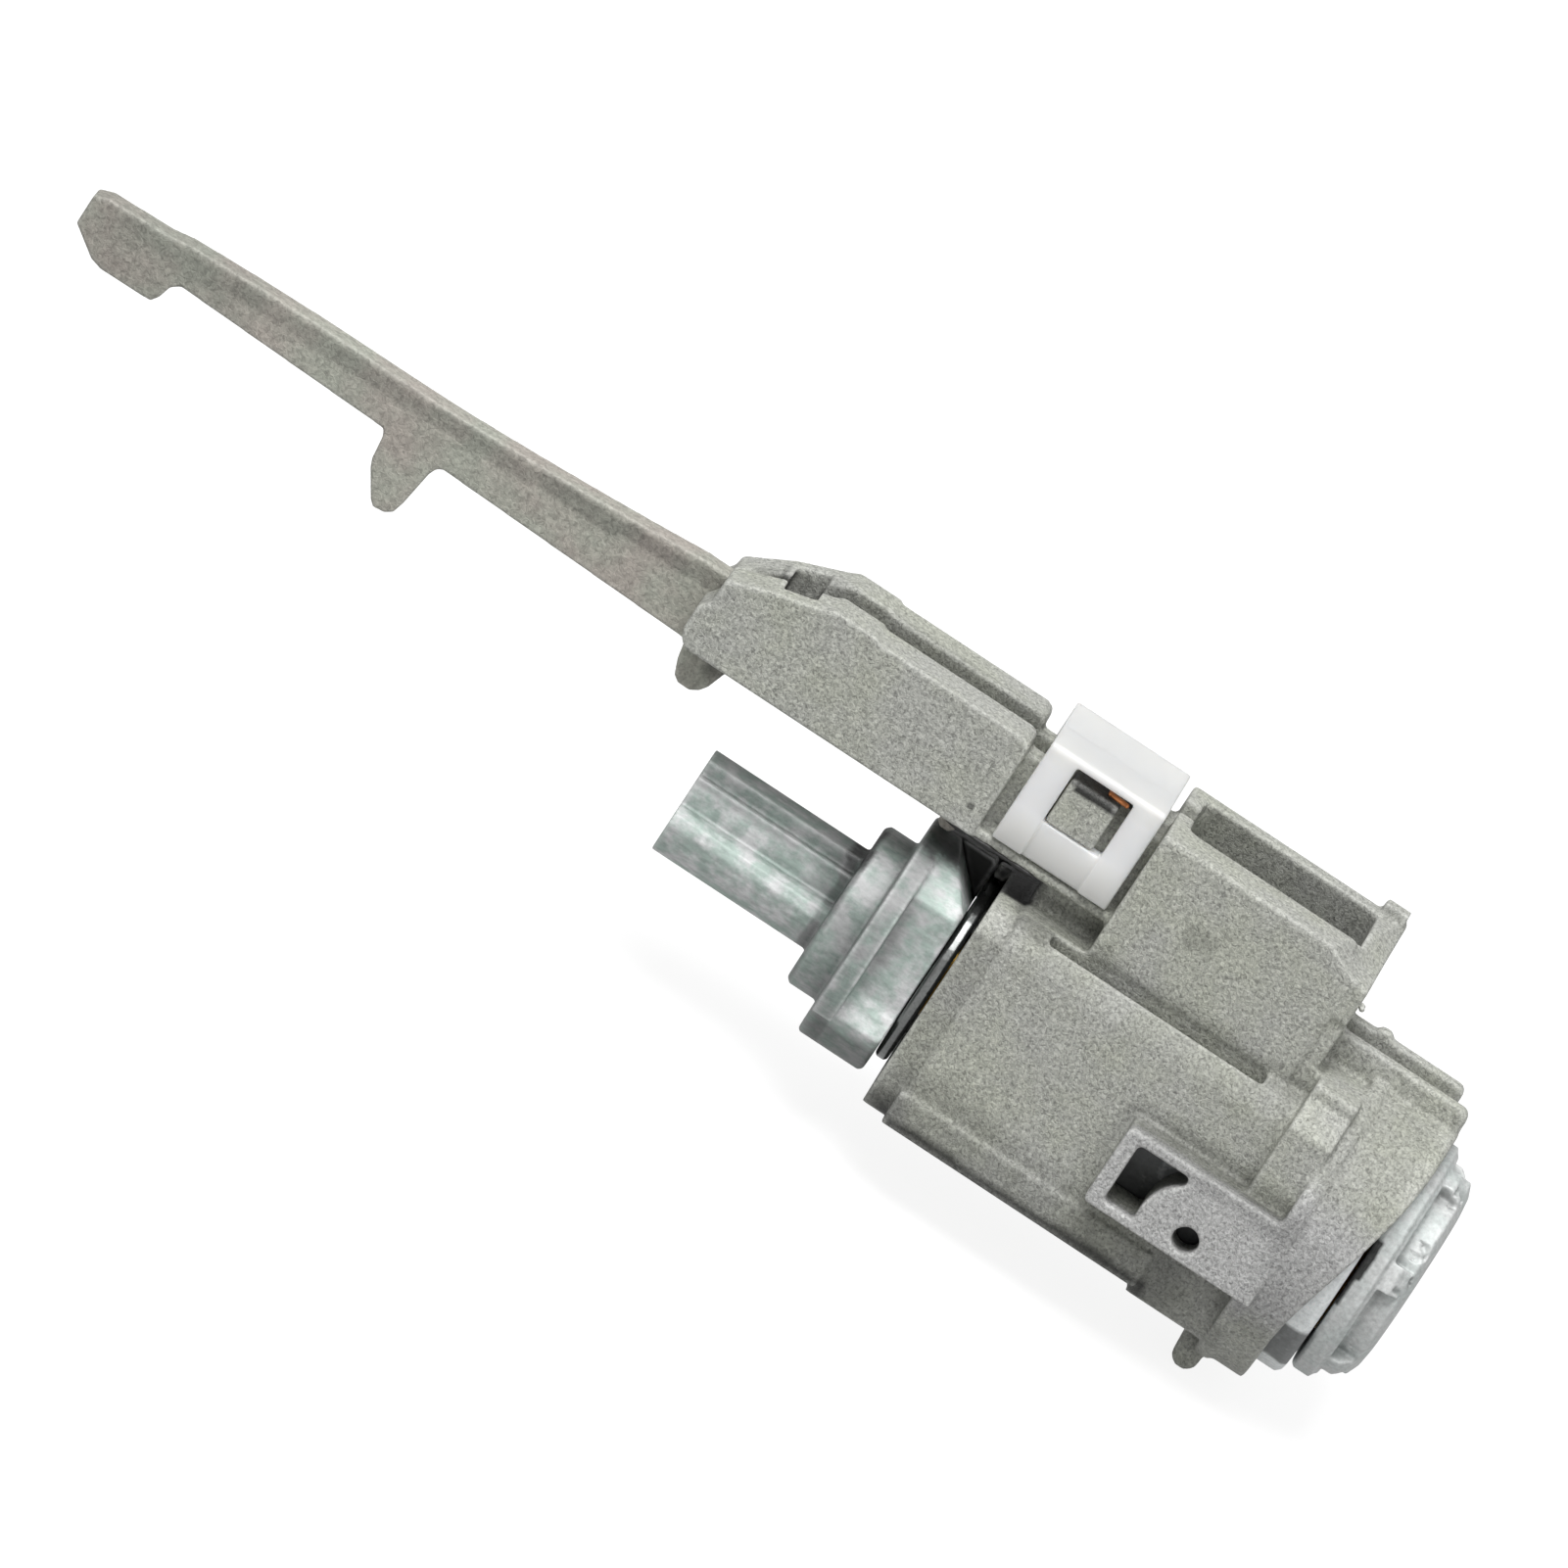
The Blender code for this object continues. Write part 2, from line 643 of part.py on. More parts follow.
def make_box():
    """The open box, its ear and the web that carries the guide."""
    low = BARREL_HALF - 2.0
    body = box("box body", (BOX_START, BOX_END), (-BOX_HALF, BOX_HALF), (low, BOX_TOP))
    over = BOX_TOP + 3.0
    slope = BOX_END - BOX_SLOPE_LENGTH
    outline = [
        (slope, BOX_TOP), (slope + 0.45 * BOX_SLOPE_LENGTH, BOX_TOP - 0.7 * BOX_SLOPE_DROP),
        (BOX_END + 1.0, BOX_TOP - BOX_SLOPE_DROP), (BOX_END + 1.0, over), (slope, over),
    ]
    end_slope = prism("box end slope", outline, "Y", -BOX_HALF - 1.0,
                      BOX_HALF - BOX_FAR_WALL)
    for corner in end_slope.data.vertices:
        corner.co.x += BOX_SLOPE_SKEW * (corner.co.y + BOX_HALF * MM)
    strip = box(
        "box face step",
        (BOX_END - 1.8, BOX_END + 1.0),
        (-BOX_HALF - 1.0, -BOX_HALF + 0.5),
        (low - 1.0, BOX_TOP - 6.5),
    )
    cut(body, end_slope, strip)
    foot = box("box foot", (BOX_END - 0.5, BARREL_LENGTH - BAND_LENGTH + 0.3),
               (-BOX_HALF + 0.5, BOX_HALF - 0.5), (low, BAND_TOP - 0.3))
    ear_outline = [
        (BOX_HALF - BOX_FAR_WALL, BOX_TOP - 4.0), (BOX_HALF, BOX_TOP - 4.0),
        (BOX_HALF, BOX_TOP + BOX_EAR_RISE - 0.5), (BOX_HALF - 0.5, BOX_TOP + BOX_EAR_RISE),
        (BOX_HALF - BOX_FAR_WALL, BOX_TOP + BOX_EAR_RISE),
    ]
    ear = prism("box ear", ear_outline, "X", BOX_END - BOX_FRONT_WALL - 0.1,
                BOX_END - 0.4)
    web = box("web", (WEB_START, BOX_START + 1.0), (-LEDGE_HALF, LEDGE_HALF),
              (low, GUIDE_BOTTOM + 1.0))
    return body, foot, ear, web


def guide_wall(rise):
    """Side outline of a guide wall; rise lifts its sloping rear end."""
    start = GUIDE_START
    low = GUIDE_BOTTOM
    top = GUIDE_TOP
    nose = low + GUIDE_NOSE_HEIGHT + rise
    slope = start + GUIDE_SLOPE
    pad = top + GUIDE_PAD
    outline = [
        (start + 1.2, low), (GUIDE_END, low), (GUIDE_END, top - 1.0),
        (GUIDE_END - 0.3, top - 0.3), (GUIDE_END - 1.0, top),
        (slope + 6.2, top), (slope + 5.8, pad), (slope + 1.0, pad), (slope, top - 0.2),
        (start + 6.0, nose + 0.55 * (top - nose)), (start + 1.0, nose),
        (start + 0.9, low + 5.8), (start, low + 4.6), (start, low + 2.0),
        (start + 0.4, low + 0.8),
    ]
    return outline


def make_guide():
    """Two walls and a ledge, cut later by the slot that the lever rocks in."""
    front = prism("guide front wall", guide_wall(0.0), "Y", -GUIDE_HALF, 0.0)
    back = prism("guide back wall", guide_wall(-1.7), "Y", 0.0, GUIDE_HALF)
    ledge = box("clip ledge", (GUIDE_END - 1.0, BOX_START + 1.0), (-LEDGE_HALF, LEDGE_HALF),
                (GUIDE_BOTTOM, LEDGE_TOP))
    plate_half = GUIDE_HALF - FIT
    plate = box("neck plate", (GUIDE_END - 1.0, BOX_START + 1.0), (-plate_half, plate_half),
                (GUIDE_BOTTOM, CLIP_BOTTOM - FIT))
    proud = LEDGE_HALF + BOSS_PROUD
    snap = box("snap boss", (BOSS_START, BOSS_START + BOSS_LENGTH), (-proud, proud),
               (BOSS_LOW, BOSS_HIGH))
    return front, back, ledge, plate, snap


def slot_cutters():
    over = CLIP_TOP + 5.0
    lane = (SLOT_FRONT, SLOT_BACK)
    rear = GUIDE_START - 3.0
    pocket_front = PIVOT_X + PIVOT_POCKET / 2
    slot = box("lever slot", (rear, SLOT_END), lane, (SLOT_FLOOR, over))
    lobe_gap = box("lobe opening", (rear, pocket_front), lane, (GUIDE_BOTTOM - 2.0, over))
    foot_gap = box("foot opening", (DISC_START - 1.0, WEB_START - 2.0), lane,
                   (BARREL_HALF + 0.1, over))
    reach = PIVOT_POCKET_HALF
    pocket = box("trunnion pocket", (PIVOT_X - PIVOT_POCKET / 2, pocket_front),
                 (SLOT_Y - reach, SLOT_Y + reach), (PIVOT_Z - TRUNNION_R - FIT, over))
    cavity_outline = rounded(
        (BOX_START + BOX_REAR_WALL, BOX_END - BOX_FRONT_WALL),
        (-BOX_HALF + BOX_NEAR_WALL, BOX_HALF - BOX_FAR_WALL), BOX_CORNER, 3
    )
    cavity = prism("box cavity", cavity_outline, "Z", BARREL_HALF + BOX_FLOOR, over)
    notch = box("box notch", (BOX_START - 0.5, BOX_START + BOX_REAR_WALL + 1.5), (-0.2, 4.0),
                (BOX_TOP - 2.4, over))
    return slot, lobe_gap, foot_gap, pocket, cavity, notch


def release_cutters():
    """The window beside a round boss, and the stepped hole for the release pin."""
    deep = -BARREL_BORE_R + 3.0
    window = box("window", (WINDOW_START, WINDOW_START + WINDOW_LENGTH),
                 (-BLOCK_FACE - 1.0, deep), (WINDOW_LOW, WINDOW_HIGH))
    boss = cylinder("release boss", "Y", (RELEASE_X, RELEASE_Z), RELEASE_BOSS_R,
                    -BLOCK_FACE - 2.0, deep + 1.0, steps=48)
    cut(window, boss)
    hole = cylinder("release hole", "Y", (RELEASE_X, RELEASE_Z), RELEASE_HOLE_R,
                    -BLOCK_FACE - 1.0, deep + 1.0, steps=24)
    seat = cylinder("pin seat", "Y", (RELEASE_X, RELEASE_Z), RELEASE_PIN_R + FIT,
                    -BLOCK_FACE + RELEASE_HOLE_DEPTH, deep + 1.0, steps=24)
    centre = RAIL_CENTRE_Y
    rail_slot = box(
        "rail slot",
        (BARREL_LENGTH - RAIL_BACK_SET + 1.7, COLLAR_END + 2.0),
        (centre - RAIL_SLOT / 2, centre + RAIL_SLOT / 2),
        (BAND_TOP + 0.2, COLLAR_R + RAIL_RISE + 3.0),
    )
    return window, hole, seat, rail_slot


# Lock lever: the long hooked arm that rocks in the guide
def lever_top(x):
    """Height of the lever's upper edge: it rises to the guide, with cast dips."""
    part = (x - LEVER_TIP) / (GUIDE_START - LEVER_TIP)
    part = min(1.0, max(0.0, part))
    tip_side = PIVOT_Z - LEVER_TIP_TOP
    rise = LEVER_TIP_TOP + LEVER_GUIDE_TOP
    z = tip_side + rise * (0.32 * part + 0.68 * part ** 3.2)
    z += LEVER_BOW * math.sin(math.pi * min(1.0, part / 0.62)) ** 2
    from_tip = x - LEVER_TIP
    step = LEVER_STEP if 0.0 <= from_tip < LEVER_STEP_LENGTH else 0.0
    dip = LEVER_DIP if 0.0 < from_tip - LEVER_DIP_AT < LEVER_DIP_LENGTH else 0.0
    return z - step - dip


def lever_low(x):
    """Height of the lever's lower edge, a straight line from tip to guide."""
    part = (x - LEVER_TIP) / (GUIDE_START - LEVER_TIP)
    tip_side = PIVOT_Z - LEVER_TIP_LOW + 0.3
    return tip_side + (PIVOT_Z - LEVER_GUIDE_LOW - tip_side) * part


def hanging(shape, right, width, depth):
    """Points of a hook below the lower edge, from its right side to its left."""
    points = []
    for across, down in shape:
        x = right - width * across
        points.append((x, lever_low(x) - depth * down))
    return points


HOOK_SHAPE = [
    (0.0, 0.0), (0.08, 0.05), (0.13, 0.17), (0.21, 0.72), (0.26, 0.9), (0.37, 0.98),
    (0.54, 1.0), (0.62, 0.93), (0.86, 0.56), (0.91, 0.44), (0.93, 0.26), (0.95, 0.1),
    (1.0, 0.0),
]
TIP_SHAPE = [
    (0.0, 0.0), (0.072, 0.226), (0.104, 0.71), (0.152, 1.0), (0.632, 1.03), (0.744, 0.9),
    (1.0, 0.13),
]
LOBE_SHAPE = [
    (0.0, 0.0), (0.08, 0.16), (0.2, 0.66), (0.3, 0.86), (0.46, 1.0), (0.7, 1.0),
    (0.82, 0.88), (0.93, 0.5), (1.0, 0.0),
]


def make_lever():
    top = []
    start = LEVER_TIP + 1.6
    end = GUIDE_START - 2.0
    for index in range(31):
        x = start + (end - start) * index / 30.0
        top.append((x, lever_top(x)))
    foot_low = DISC_R + FIT
    floor = SLOT_FLOOR + RUN
    foot_left = FOOT_X - FOOT_WIDTH / 2
    foot_right = FOOT_X + FOOT_WIDTH / 2
    inner_top = floor + LEVER_INNER_HEIGHT
    outline = [(LEVER_TIP, lever_top(LEVER_TIP) - 0.6)] + top
    outline += [
        (LEVER_INNER_END - 0.8, inner_top), (LEVER_INNER_END, inner_top - 0.8),
        (LEVER_INNER_END, floor + 0.6), (LEVER_INNER_END - 0.6, floor),
        (foot_right + 0.8, floor), (foot_right, floor - 0.8),
        (foot_right, foot_low + 0.5), (foot_right - 0.5, foot_low),
        (foot_left + 0.5, foot_low), (foot_left, foot_low + 0.5),
        (foot_left, floor - 0.8), (foot_left - 0.8, floor),
        (PIVOT_X + 0.6, floor), (PIVOT_X - 0.9, floor - 1.2),
    ]
    lobe_right = PIVOT_X - LEVER_LOBE_AT + LEVER_LOBE_WIDTH
    outline += hanging(LOBE_SHAPE, lobe_right, LEVER_LOBE_WIDTH, LEVER_LOBE_DEPTH)
    hook_right = PIVOT_X - LEVER_HOOK_AT + LEVER_HOOK_WIDTH
    outline += hanging(HOOK_SHAPE, hook_right, LEVER_HOOK_WIDTH, LEVER_HOOK_DEPTH)
    foot_end = LEVER_TIP + LEVER_TIP_FOOT
    for across, down in TIP_SHAPE:
        outline.append((foot_end - LEVER_TIP_FOOT * across,
                        lever_low(foot_end) - LEVER_TIP_FOOT_DEPTH * down))
    lever = prism("lock_lever", outline, "Y", LEVER_FRONT, LEVER_BACK, LEVER_ZINC,
                  (PIVOT_X, SLOT_Y, PIVOT_Z))
    reach = PIVOT_POCKET_HALF - FIT
    trunnion = cylinder("trunnion", "Y", (PIVOT_X, PIVOT_Z), TRUNNION_R,
                        SLOT_Y - reach, SLOT_Y + reach, steps=24)
    fuse(lever, trunnion)
    return lever


# White nylon clip that closes the slot over the spring
def make_clip():
    inner, outer, top = CLIP_INNER, CLIP_OUTER, CLIP_TOP
    outline = [
        (-outer, CLIP_BOTTOM), (-inner, CLIP_BOTTOM), (-inner, top - CLIP_PLATE),
        (inner, top - CLIP_PLATE), (inner, CLIP_BOTTOM), (outer, CLIP_BOTTOM),
    ]
    outline += arc(outer - 0.6, top - 0.6, 0.6, 0.0, 90.0, 3)
    outline += [(0.0, top - CLIP_HOLLOW)]
    outline += arc(-outer + 0.6, top - 0.6, 0.6, 90.0, 180.0, 3)
    clip = prism("retaining_clip", outline, "X", CLIP_START, CLIP_END, NYLON)
    start = CLIP_START + CLIP_MARGIN
    window = box("clip window", (start, start + CLIP_WINDOW), (-outer - 1.0, outer + 1.0),
                 (BOSS_LOW - BOSS_GAP, top - CLIP_PLATE))
    groove = box("clip groove", (start, start + CLIP_WINDOW), (-outer - 1.0, -outer + 0.3),
                 (CLIP_BOTTOM - 1.0, BOSS_LOW + 1.0))
    cut(clip, window, groove)
    return clip


# Cylinder sleeve that carries the plug
def make_sleeve():
    start, end = SLEEVE_SETBACK, SLEEVE_END
    wall = start + SLEEVE_REAR_WALL
    profile = [
        (start, SHANK_R + FIT), (start, SLEEVE_R - 0.5), (start + 0.5, SLEEVE_R),
        (SLEEVE_FLANGE_START, SLEEVE_R), (SLEEVE_FLANGE_START, SLEEVE_FLANGE_R),
        (end - 0.6, SLEEVE_FLANGE_R), (end, SLEEVE_FLANGE_R - 0.6), (end, SLEEVE_BORE_R),
        (wall, SLEEVE_BORE_R), (wall, SHANK_R + FIT),
    ]
    sleeve = turned("cylinder_sleeve", profile, BRIGHT_ZINC, steps=48)
    width = WAFER_HALF_WIDTH + 2.0 * FIT
    tall = SLEEVE_BORE_R + WAFER_GROOVE_DEPTH
    groove = rounded((-width, width), (-tall, tall), 0.6, 2)
    grooves = prism("wafer grooves", groove, "X", WAFER_FIRST - 2.0, WAFER_LAST + 2.0)
    pocket = cylinder("release pocket", "Y", (RELEASE_X, RELEASE_Z), RELEASE_PIN_R + FIT,
                      -SLEEVE_R - 2.0, release_floor(), steps=24)
    cut(sleeve, grooves, pocket)
    return sleeve


def release_floor():
    """Y of the bottom of the release pin's pocket in the sleeve."""
    return -SLEEVE_BORE_R - 0.7


def make_plug():
    tail = DISC_END - 1.5
    groove = RING_START - 0.1
    groove_end = RING_START + RING_THICK + 0.1
    groove_r = SHANK_R - RING_GROOVE_DEPTH
    profile = [
        (tail, 0.0), (tail, SHANK_R), (groove, SHANK_R), (groove, groove_r),
        (groove_end, groove_r), (groove_end, SHANK_R),
        (SHANK_LENGTH, SHANK_R), (SHANK_LENGTH, PLUG_R),
        (HEAD_START, PLUG_R), (HEAD_START, HEAD_R), (HEAD_END, HEAD_R), (HEAD_END, 0.0),
    ]
    plug = turned("key_plug", profile, BRASS, steps=40)
    tongue = box("plug tongue", (TONGUE_END, tail + 0.5), (-TONGUE_HALF_Y, TONGUE_HALF_Y),
                 (-TONGUE_HALF_Z, TONGUE_HALF_Z))
    fuse(plug, tongue)
    keyway = box(
        "keyway",
        (WAFER_FIRST - 4.0, HEAD_END + 1.0),
        (-KEYWAY_HALF_WIDTH, KEYWAY_HALF_WIDTH),
        (-KEYWAY_HALF_HEIGHT, KEYWAY_HALF_HEIGHT),
    )
    cut(plug, keyway)
    gap = WAFER_SIDE_GAP
    pocket_width = WAFER_SPRING_R + WAFER_SPRING_WIRE + FIT
    for index in range(WAFER_COUNT):
        x = WAFER_FIRST + WAFER_PITCH * index
        slot = box(
            "wafer slot %d" % (index + 1),
            (x - WAFER_THICK / 2 - gap, x + WAFER_THICK / 2 + gap),
            (-WAFER_HALF_WIDTH - gap, WAFER_HALF_WIDTH + gap),
            (-PLUG_R - 1.0, PLUG_R + 1.0),
        )
        side = box(
            "spring pocket %d" % (index + 1),
            (x - pocket_width, x + pocket_width),
            (WAFER_HALF_WIDTH + 0.1, WAFER_HALF_WIDTH + WAFER_EAR + 0.3),
            (WAFER_EAR_HEIGHT - WAFER_SPRING_LENGTH - 2.0 * FIT, WAFER_EAR_HEIGHT + 2.5),
        )
        cut(plug, slot, side)
    shutter_room = box(
        "shutter room",
        (SHUTTER_X - SHUTTER_DROP - 0.8, HEAD_END + 1.0),
        (-SHUTTER_HALF - FIT, SHUTTER_HALF + FIT),
        (SHUTTER_Z - SHUTTER_DROP - 0.4, SHUTTER_Z + SHUTTER_KNUCKLE_R + 0.2),
    )
    pin_hole = cylinder("shutter pin hole", "Y", (SHUTTER_X, SHUTTER_Z),
                        SHUTTER_PIN_R + 0.1, -SHUTTER_HALF - 2.0, SHUTTER_HALF + 2.0,
                        steps=16)
    cut(plug, shutter_room, pin_hole)
    return plug


def make_wafers():
    """Brass plates whose windows step up and down with the key's cuts."""
    made = []
    w = WAFER_HALF_WIDTH
    low = WAFER_TRAVEL - WAFER_HALF_HEIGHT
    high = WAFER_HALF_HEIGHT + WAFER_PROUD
    ear = w + WAFER_EAR
    for index in range(WAFER_COUNT):
        x = WAFER_FIRST + WAFER_PITCH * index
        start = x - WAFER_THICK / 2
        outline = [
            (-w, low), (w, low), (w, WAFER_EAR_HEIGHT), (ear, WAFER_EAR_HEIGHT),
            (ear, WAFER_EAR_HEIGHT + 0.9), (w, WAFER_EAR_HEIGHT + 0.9), (w, high),
            (-w, high),
        ]
        wafer = prism("wafer_%d" % (index + 1), outline, "X", start, start + WAFER_THICK,
                      BRASS)
        shift = WAFER_STEP * ((index * 5) % 4 - 1.5)
        window = box(
            "wafer window %d" % (index + 1),
            (start - 1.0, start + WAFER_THICK + 1.0),
            (-KEYWAY_HALF_WIDTH - 0.3, KEYWAY_HALF_WIDTH + 0.3),
            (shift - KEYWAY_HALF_HEIGHT + 0.4, shift + KEYWAY_HALF_HEIGHT - 0.4),
        )
        cut(wafer, window)
        length = WAFER_SPRING_LENGTH
        base = (x, w + WAFER_EAR - WAFER_SPRING_R - 0.1, WAFER_EAR_HEIGHT - FIT - length)
        spring = coil("wafer_spring_%d" % (index + 1), base, (0, 0, 1), WAFER_SPRING_R,
                      WAFER_SPRING_WIRE, length, 4.0, STEEL, 8, 4)
        made += [wafer, spring]
    return made


# Castellated metal cap on the plug's head
def make_cap():
    face = CAP_END - CAP_FACE_SINK
    inner = HEAD_R + FIT
    nose = CAP_END - CAP_NOSE_LENGTH
    rim = CAP_R - CAP_NOSE_DROP
    profile = [
        (CAP_START, inner), (CAP_START, CAP_BASE_R - 0.4), (CAP_START + 0.4, CAP_BASE_R),
        (CAP_BASE_END - 0.4, CAP_BASE_R), (CAP_BASE_END, CAP_R), (nose, CAP_R),
        (nose + 0.55 * CAP_NOSE_LENGTH, CAP_R - 0.25 * CAP_NOSE_DROP),
        (nose + 0.9 * CAP_NOSE_LENGTH, CAP_R - 0.65 * CAP_NOSE_DROP), (CAP_END, rim),
        (CAP_END, rim - 1.0), (face, rim - 1.4), (face, 0.0),
        (face - CAP_FACE_THICK, 0.0), (face - CAP_FACE_THICK, inner),
    ]
    cap = turned("lock_cap", profile, BRIGHT_ZINC, steps=72)
    pitch = 360.0 / CAP_LUGS
    for index in range(CAP_LUGS):
        first = 180.0 - (CAP_LUG_ANGLE + pitch * index + LUG_WIDTH_DEG / 2)
        last = 180.0 - (CAP_LUG_ANGLE + pitch * (index + 1) - LUG_WIDTH_DEG / 2)
        outer = arc(0.0, 0.0, CAP_R + 2.0, first, last, 8)
        floor = arc(0.0, 0.0, CAP_R - LUG_DEPTH, last, first, 8)
        pocket = prism("cap pocket %d" % (index + 1), outer + floor, "X",
                       CAP_BASE_END + 0.2, CAP_END + 1.0)
        cut(cap, pocket)
    slot = rounded((-KEYWAY_HALF_WIDTH - 0.4, KEYWAY_HALF_WIDTH + 0.4),
                   (-KEYWAY_HALF_HEIGHT - 0.3, KEYWAY_HALF_HEIGHT + 0.3), 0.7, 3)
    key_slot = prism("key slot", slot, "X", face - CAP_FACE_THICK - 1.0, CAP_END + 1.0)
    cut(cap, key_slot)
    return cap


def make_shutter():
    """The sprung door behind the key slot, its pin and its spring."""
    hinge = (SHUTTER_X, 0.0, SHUTTER_Z)
    half = SHUTTER_HALF
    spring_side = half - SHUTTER_SPRING_WIDTH
    shutter = box("dust_shutter", (SHUTTER_X - 0.1, SHUTTER_X + SHUTTER_THICK - 0.1),
                  (-half, half), (SHUTTER_Z - SHUTTER_DROP + 0.4, SHUTTER_Z), STEEL, hinge)
    knuckle = cylinder("shutter knuckle", "Y", (SHUTTER_X, SHUTTER_Z), SHUTTER_KNUCKLE_R,
                       -half, spring_side, steps=20)
    bore = cylinder("shutter bore", "Y", (SHUTTER_X, SHUTTER_Z), SHUTTER_PIN_R + 0.1,
                    -half - 1.0, half + 1.0, steps=16)
    notch = box("spring notch", (SHUTTER_X - 1.5, SHUTTER_X + 1.5), (spring_side, half + 1.0),
                (SHUTTER_Z - SHUTTER_KNUCKLE_R - FIT, SHUTTER_Z + 1.5))
    fuse(shutter, knuckle)
    cut(shutter, bore, notch)
    pin = cylinder("shutter_pin", "Y", (SHUTTER_X, SHUTTER_Z), SHUTTER_PIN_R,
                   -half - 1.8, half + 1.8, STEEL, 16)
    spring = coil("shutter_spring", (SHUTTER_X, spring_side + 0.1, SHUTTER_Z), (0, 1, 0),
                  SHUTTER_KNUCKLE_R - 0.2, 0.12, SHUTTER_SPRING_WIDTH - 0.1, 3.0, STEEL,
                  12, 4)
    return shutter, pin, spring


# Rear rotor: the cam disc, its collar and the stepped tail that drives the switch
def make_rotor():
    profile = [
        (ROTOR_COLLAR_START, 0.0), (ROTOR_COLLAR_START, ROTOR_COLLAR_R - 0.5),
        (ROTOR_COLLAR_START + 0.5, ROTOR_COLLAR_R), (DISC_START, ROTOR_COLLAR_R),
        (DISC_START, DISC_R - 0.3), (DISC_START + 0.3, DISC_R), (DISC_END - 0.4, DISC_R),
        (DISC_END, DISC_R - 0.4), (DISC_END, 0.0),
    ]
    rotor = turned("rear_rotor", profile, BRIGHT_ZINC, steps=64)
    side = []
    height = TAIL_TOP
    for half, foot in TAIL_STEPS:
        side += [(half, height), (half, foot)]
        height = foot
    side += [(TAIL_SHOULDER, height - 0.1), (TAIL_R - 0.5, 0.3)]
    outline = [(y, z) for y, z in side]
    outline += arc(0.0, 0.0, TAIL_R, -8.0, -172.0, 14)
    outline += [(-y, z) for y, z in reversed(side)]
    tail = prism("stepped tail", outline, "X", TAIL_START, ROTOR_COLLAR_START + 0.5)

    # The rim grows in a spiral, so turning the key lifts the lever's foot evenly
    spiral = []
    lead_in, run_out = 6.0, 8.0
    sweep = lead_in + CAM_TURN_DEG + run_out
    for index in range(45):
        turned_by = sweep * index / 44.0 - lead_in
        psi = math.radians(90.0 - turned_by)
        radius = DISC_R + CAM_RISE * max(0.0, turned_by) / CAM_TURN_DEG
        spiral.append((-radius * math.cos(psi), radius * math.sin(psi)))
    spiral.append((0.0, 0.0))
    cam = prism("cam rise", spiral, "X", DISC_START + 0.1, CAM_END)
    fuse(rotor, tail, cam)

    inner = -DISC_R + DISC_POCKET_DEPTH
    clear = -DISC_R - 3.0
    pocket_outline = [
        (clear, DISC_POCKET_HIGH), (inner, DISC_POCKET_HIGH), (inner, DISC_POCKET_LOW),
        (-DISC_R - 0.1, DISC_POCKET_LOW - DISC_POCKET_RUN),
        (clear, DISC_POCKET_LOW - DISC_POCKET_RUN),
    ]
    pocket = prism("disc pocket", pocket_outline, "X", CAM_END, DISC_END + 1.0)
    slope = RAMP_DROP / RAMP_LENGTH
    ramp_outline = [
        (DISC_END - RAMP_LENGTH, DISC_R), (DISC_END + 1.0, DISC_R - RAMP_DROP - slope),
        (DISC_END + 1.0, DISC_R + 3.0), (DISC_END - RAMP_LENGTH, DISC_R + 3.0),
    ]
    ramp = prism("disc ramp", ramp_outline, "Y", -DISC_R - 2.0, RAMP_FAR_Y)
    for corner in ramp.data.vertices:
        corner.co.z -= RAMP_TILT * corner.co.y
    recess = cylinder("ring recess", "X", (0.0, 0.0), RING_R + 0.5, DISC_END - 1.7,
                      DISC_END + 1.0, steps=40)
    socket = box(
        "tongue socket",
        (TONGUE_END - FIT, DISC_END + 1.0),
        (-TONGUE_HALF_Y - FIT, TONGUE_HALF_Y + FIT),
        (-TONGUE_HALF_Z - FIT, TONGUE_HALF_Z + FIT),
    )
    cut(rotor, pocket, ramp, recess, socket)
    return rotor


def make_rear_rings():
    start = WASHER_START
    end = start + WASHER_THICK
    washer = turned(
        "thrust_washer",
        [(start, SHANK_R + FIT), (start, WASHER_R - 0.3), (start + 0.3, WASHER_R),
         (end - 0.3, WASHER_R), (end, WASHER_R - 0.3), (end, SHANK_R + FIT)],
        STEEL,
        steps=56,
    )
    inner = SHANK_R - RING_GROOVE_DEPTH + FIT
    ring_outline = arc(0.0, 0.0, RING_R, 30.0, 330.0, 36)
    ring_outline += arc(0.0, 0.0, inner, 330.0, 30.0, 36)
    ring = prism("retaining_ring", ring_outline, "X", RING_START, RING_START + RING_THICK,
                 STEEL)
    wall = SLEEVE_SETBACK + SLEEVE_REAR_WALL
    spring = coil("return_spring", (wall + FIT, 0.0, 0.0), (1, 0, 0),
                  (SHANK_R + SLEEVE_BORE_R) / 2.0, RETURN_WIRE,
                  SHANK_LENGTH - wall - 2.0 * FIT, 4.0, STEEL, 20, 6)
    return washer, ring, spring


def make_lever_spring():
    base = SLOT_FLOOR + RUN + LEVER_INNER_HEIGHT + FIT
    return coil("lever_spring", (SPRING_X, SLOT_Y, base), (0, 0, 1), LEVER_SPRING_R,
                LEVER_WIRE, CLIP_TOP - CLIP_PLATE - FIT - base, 5.0, BRONZE, 14, 6)


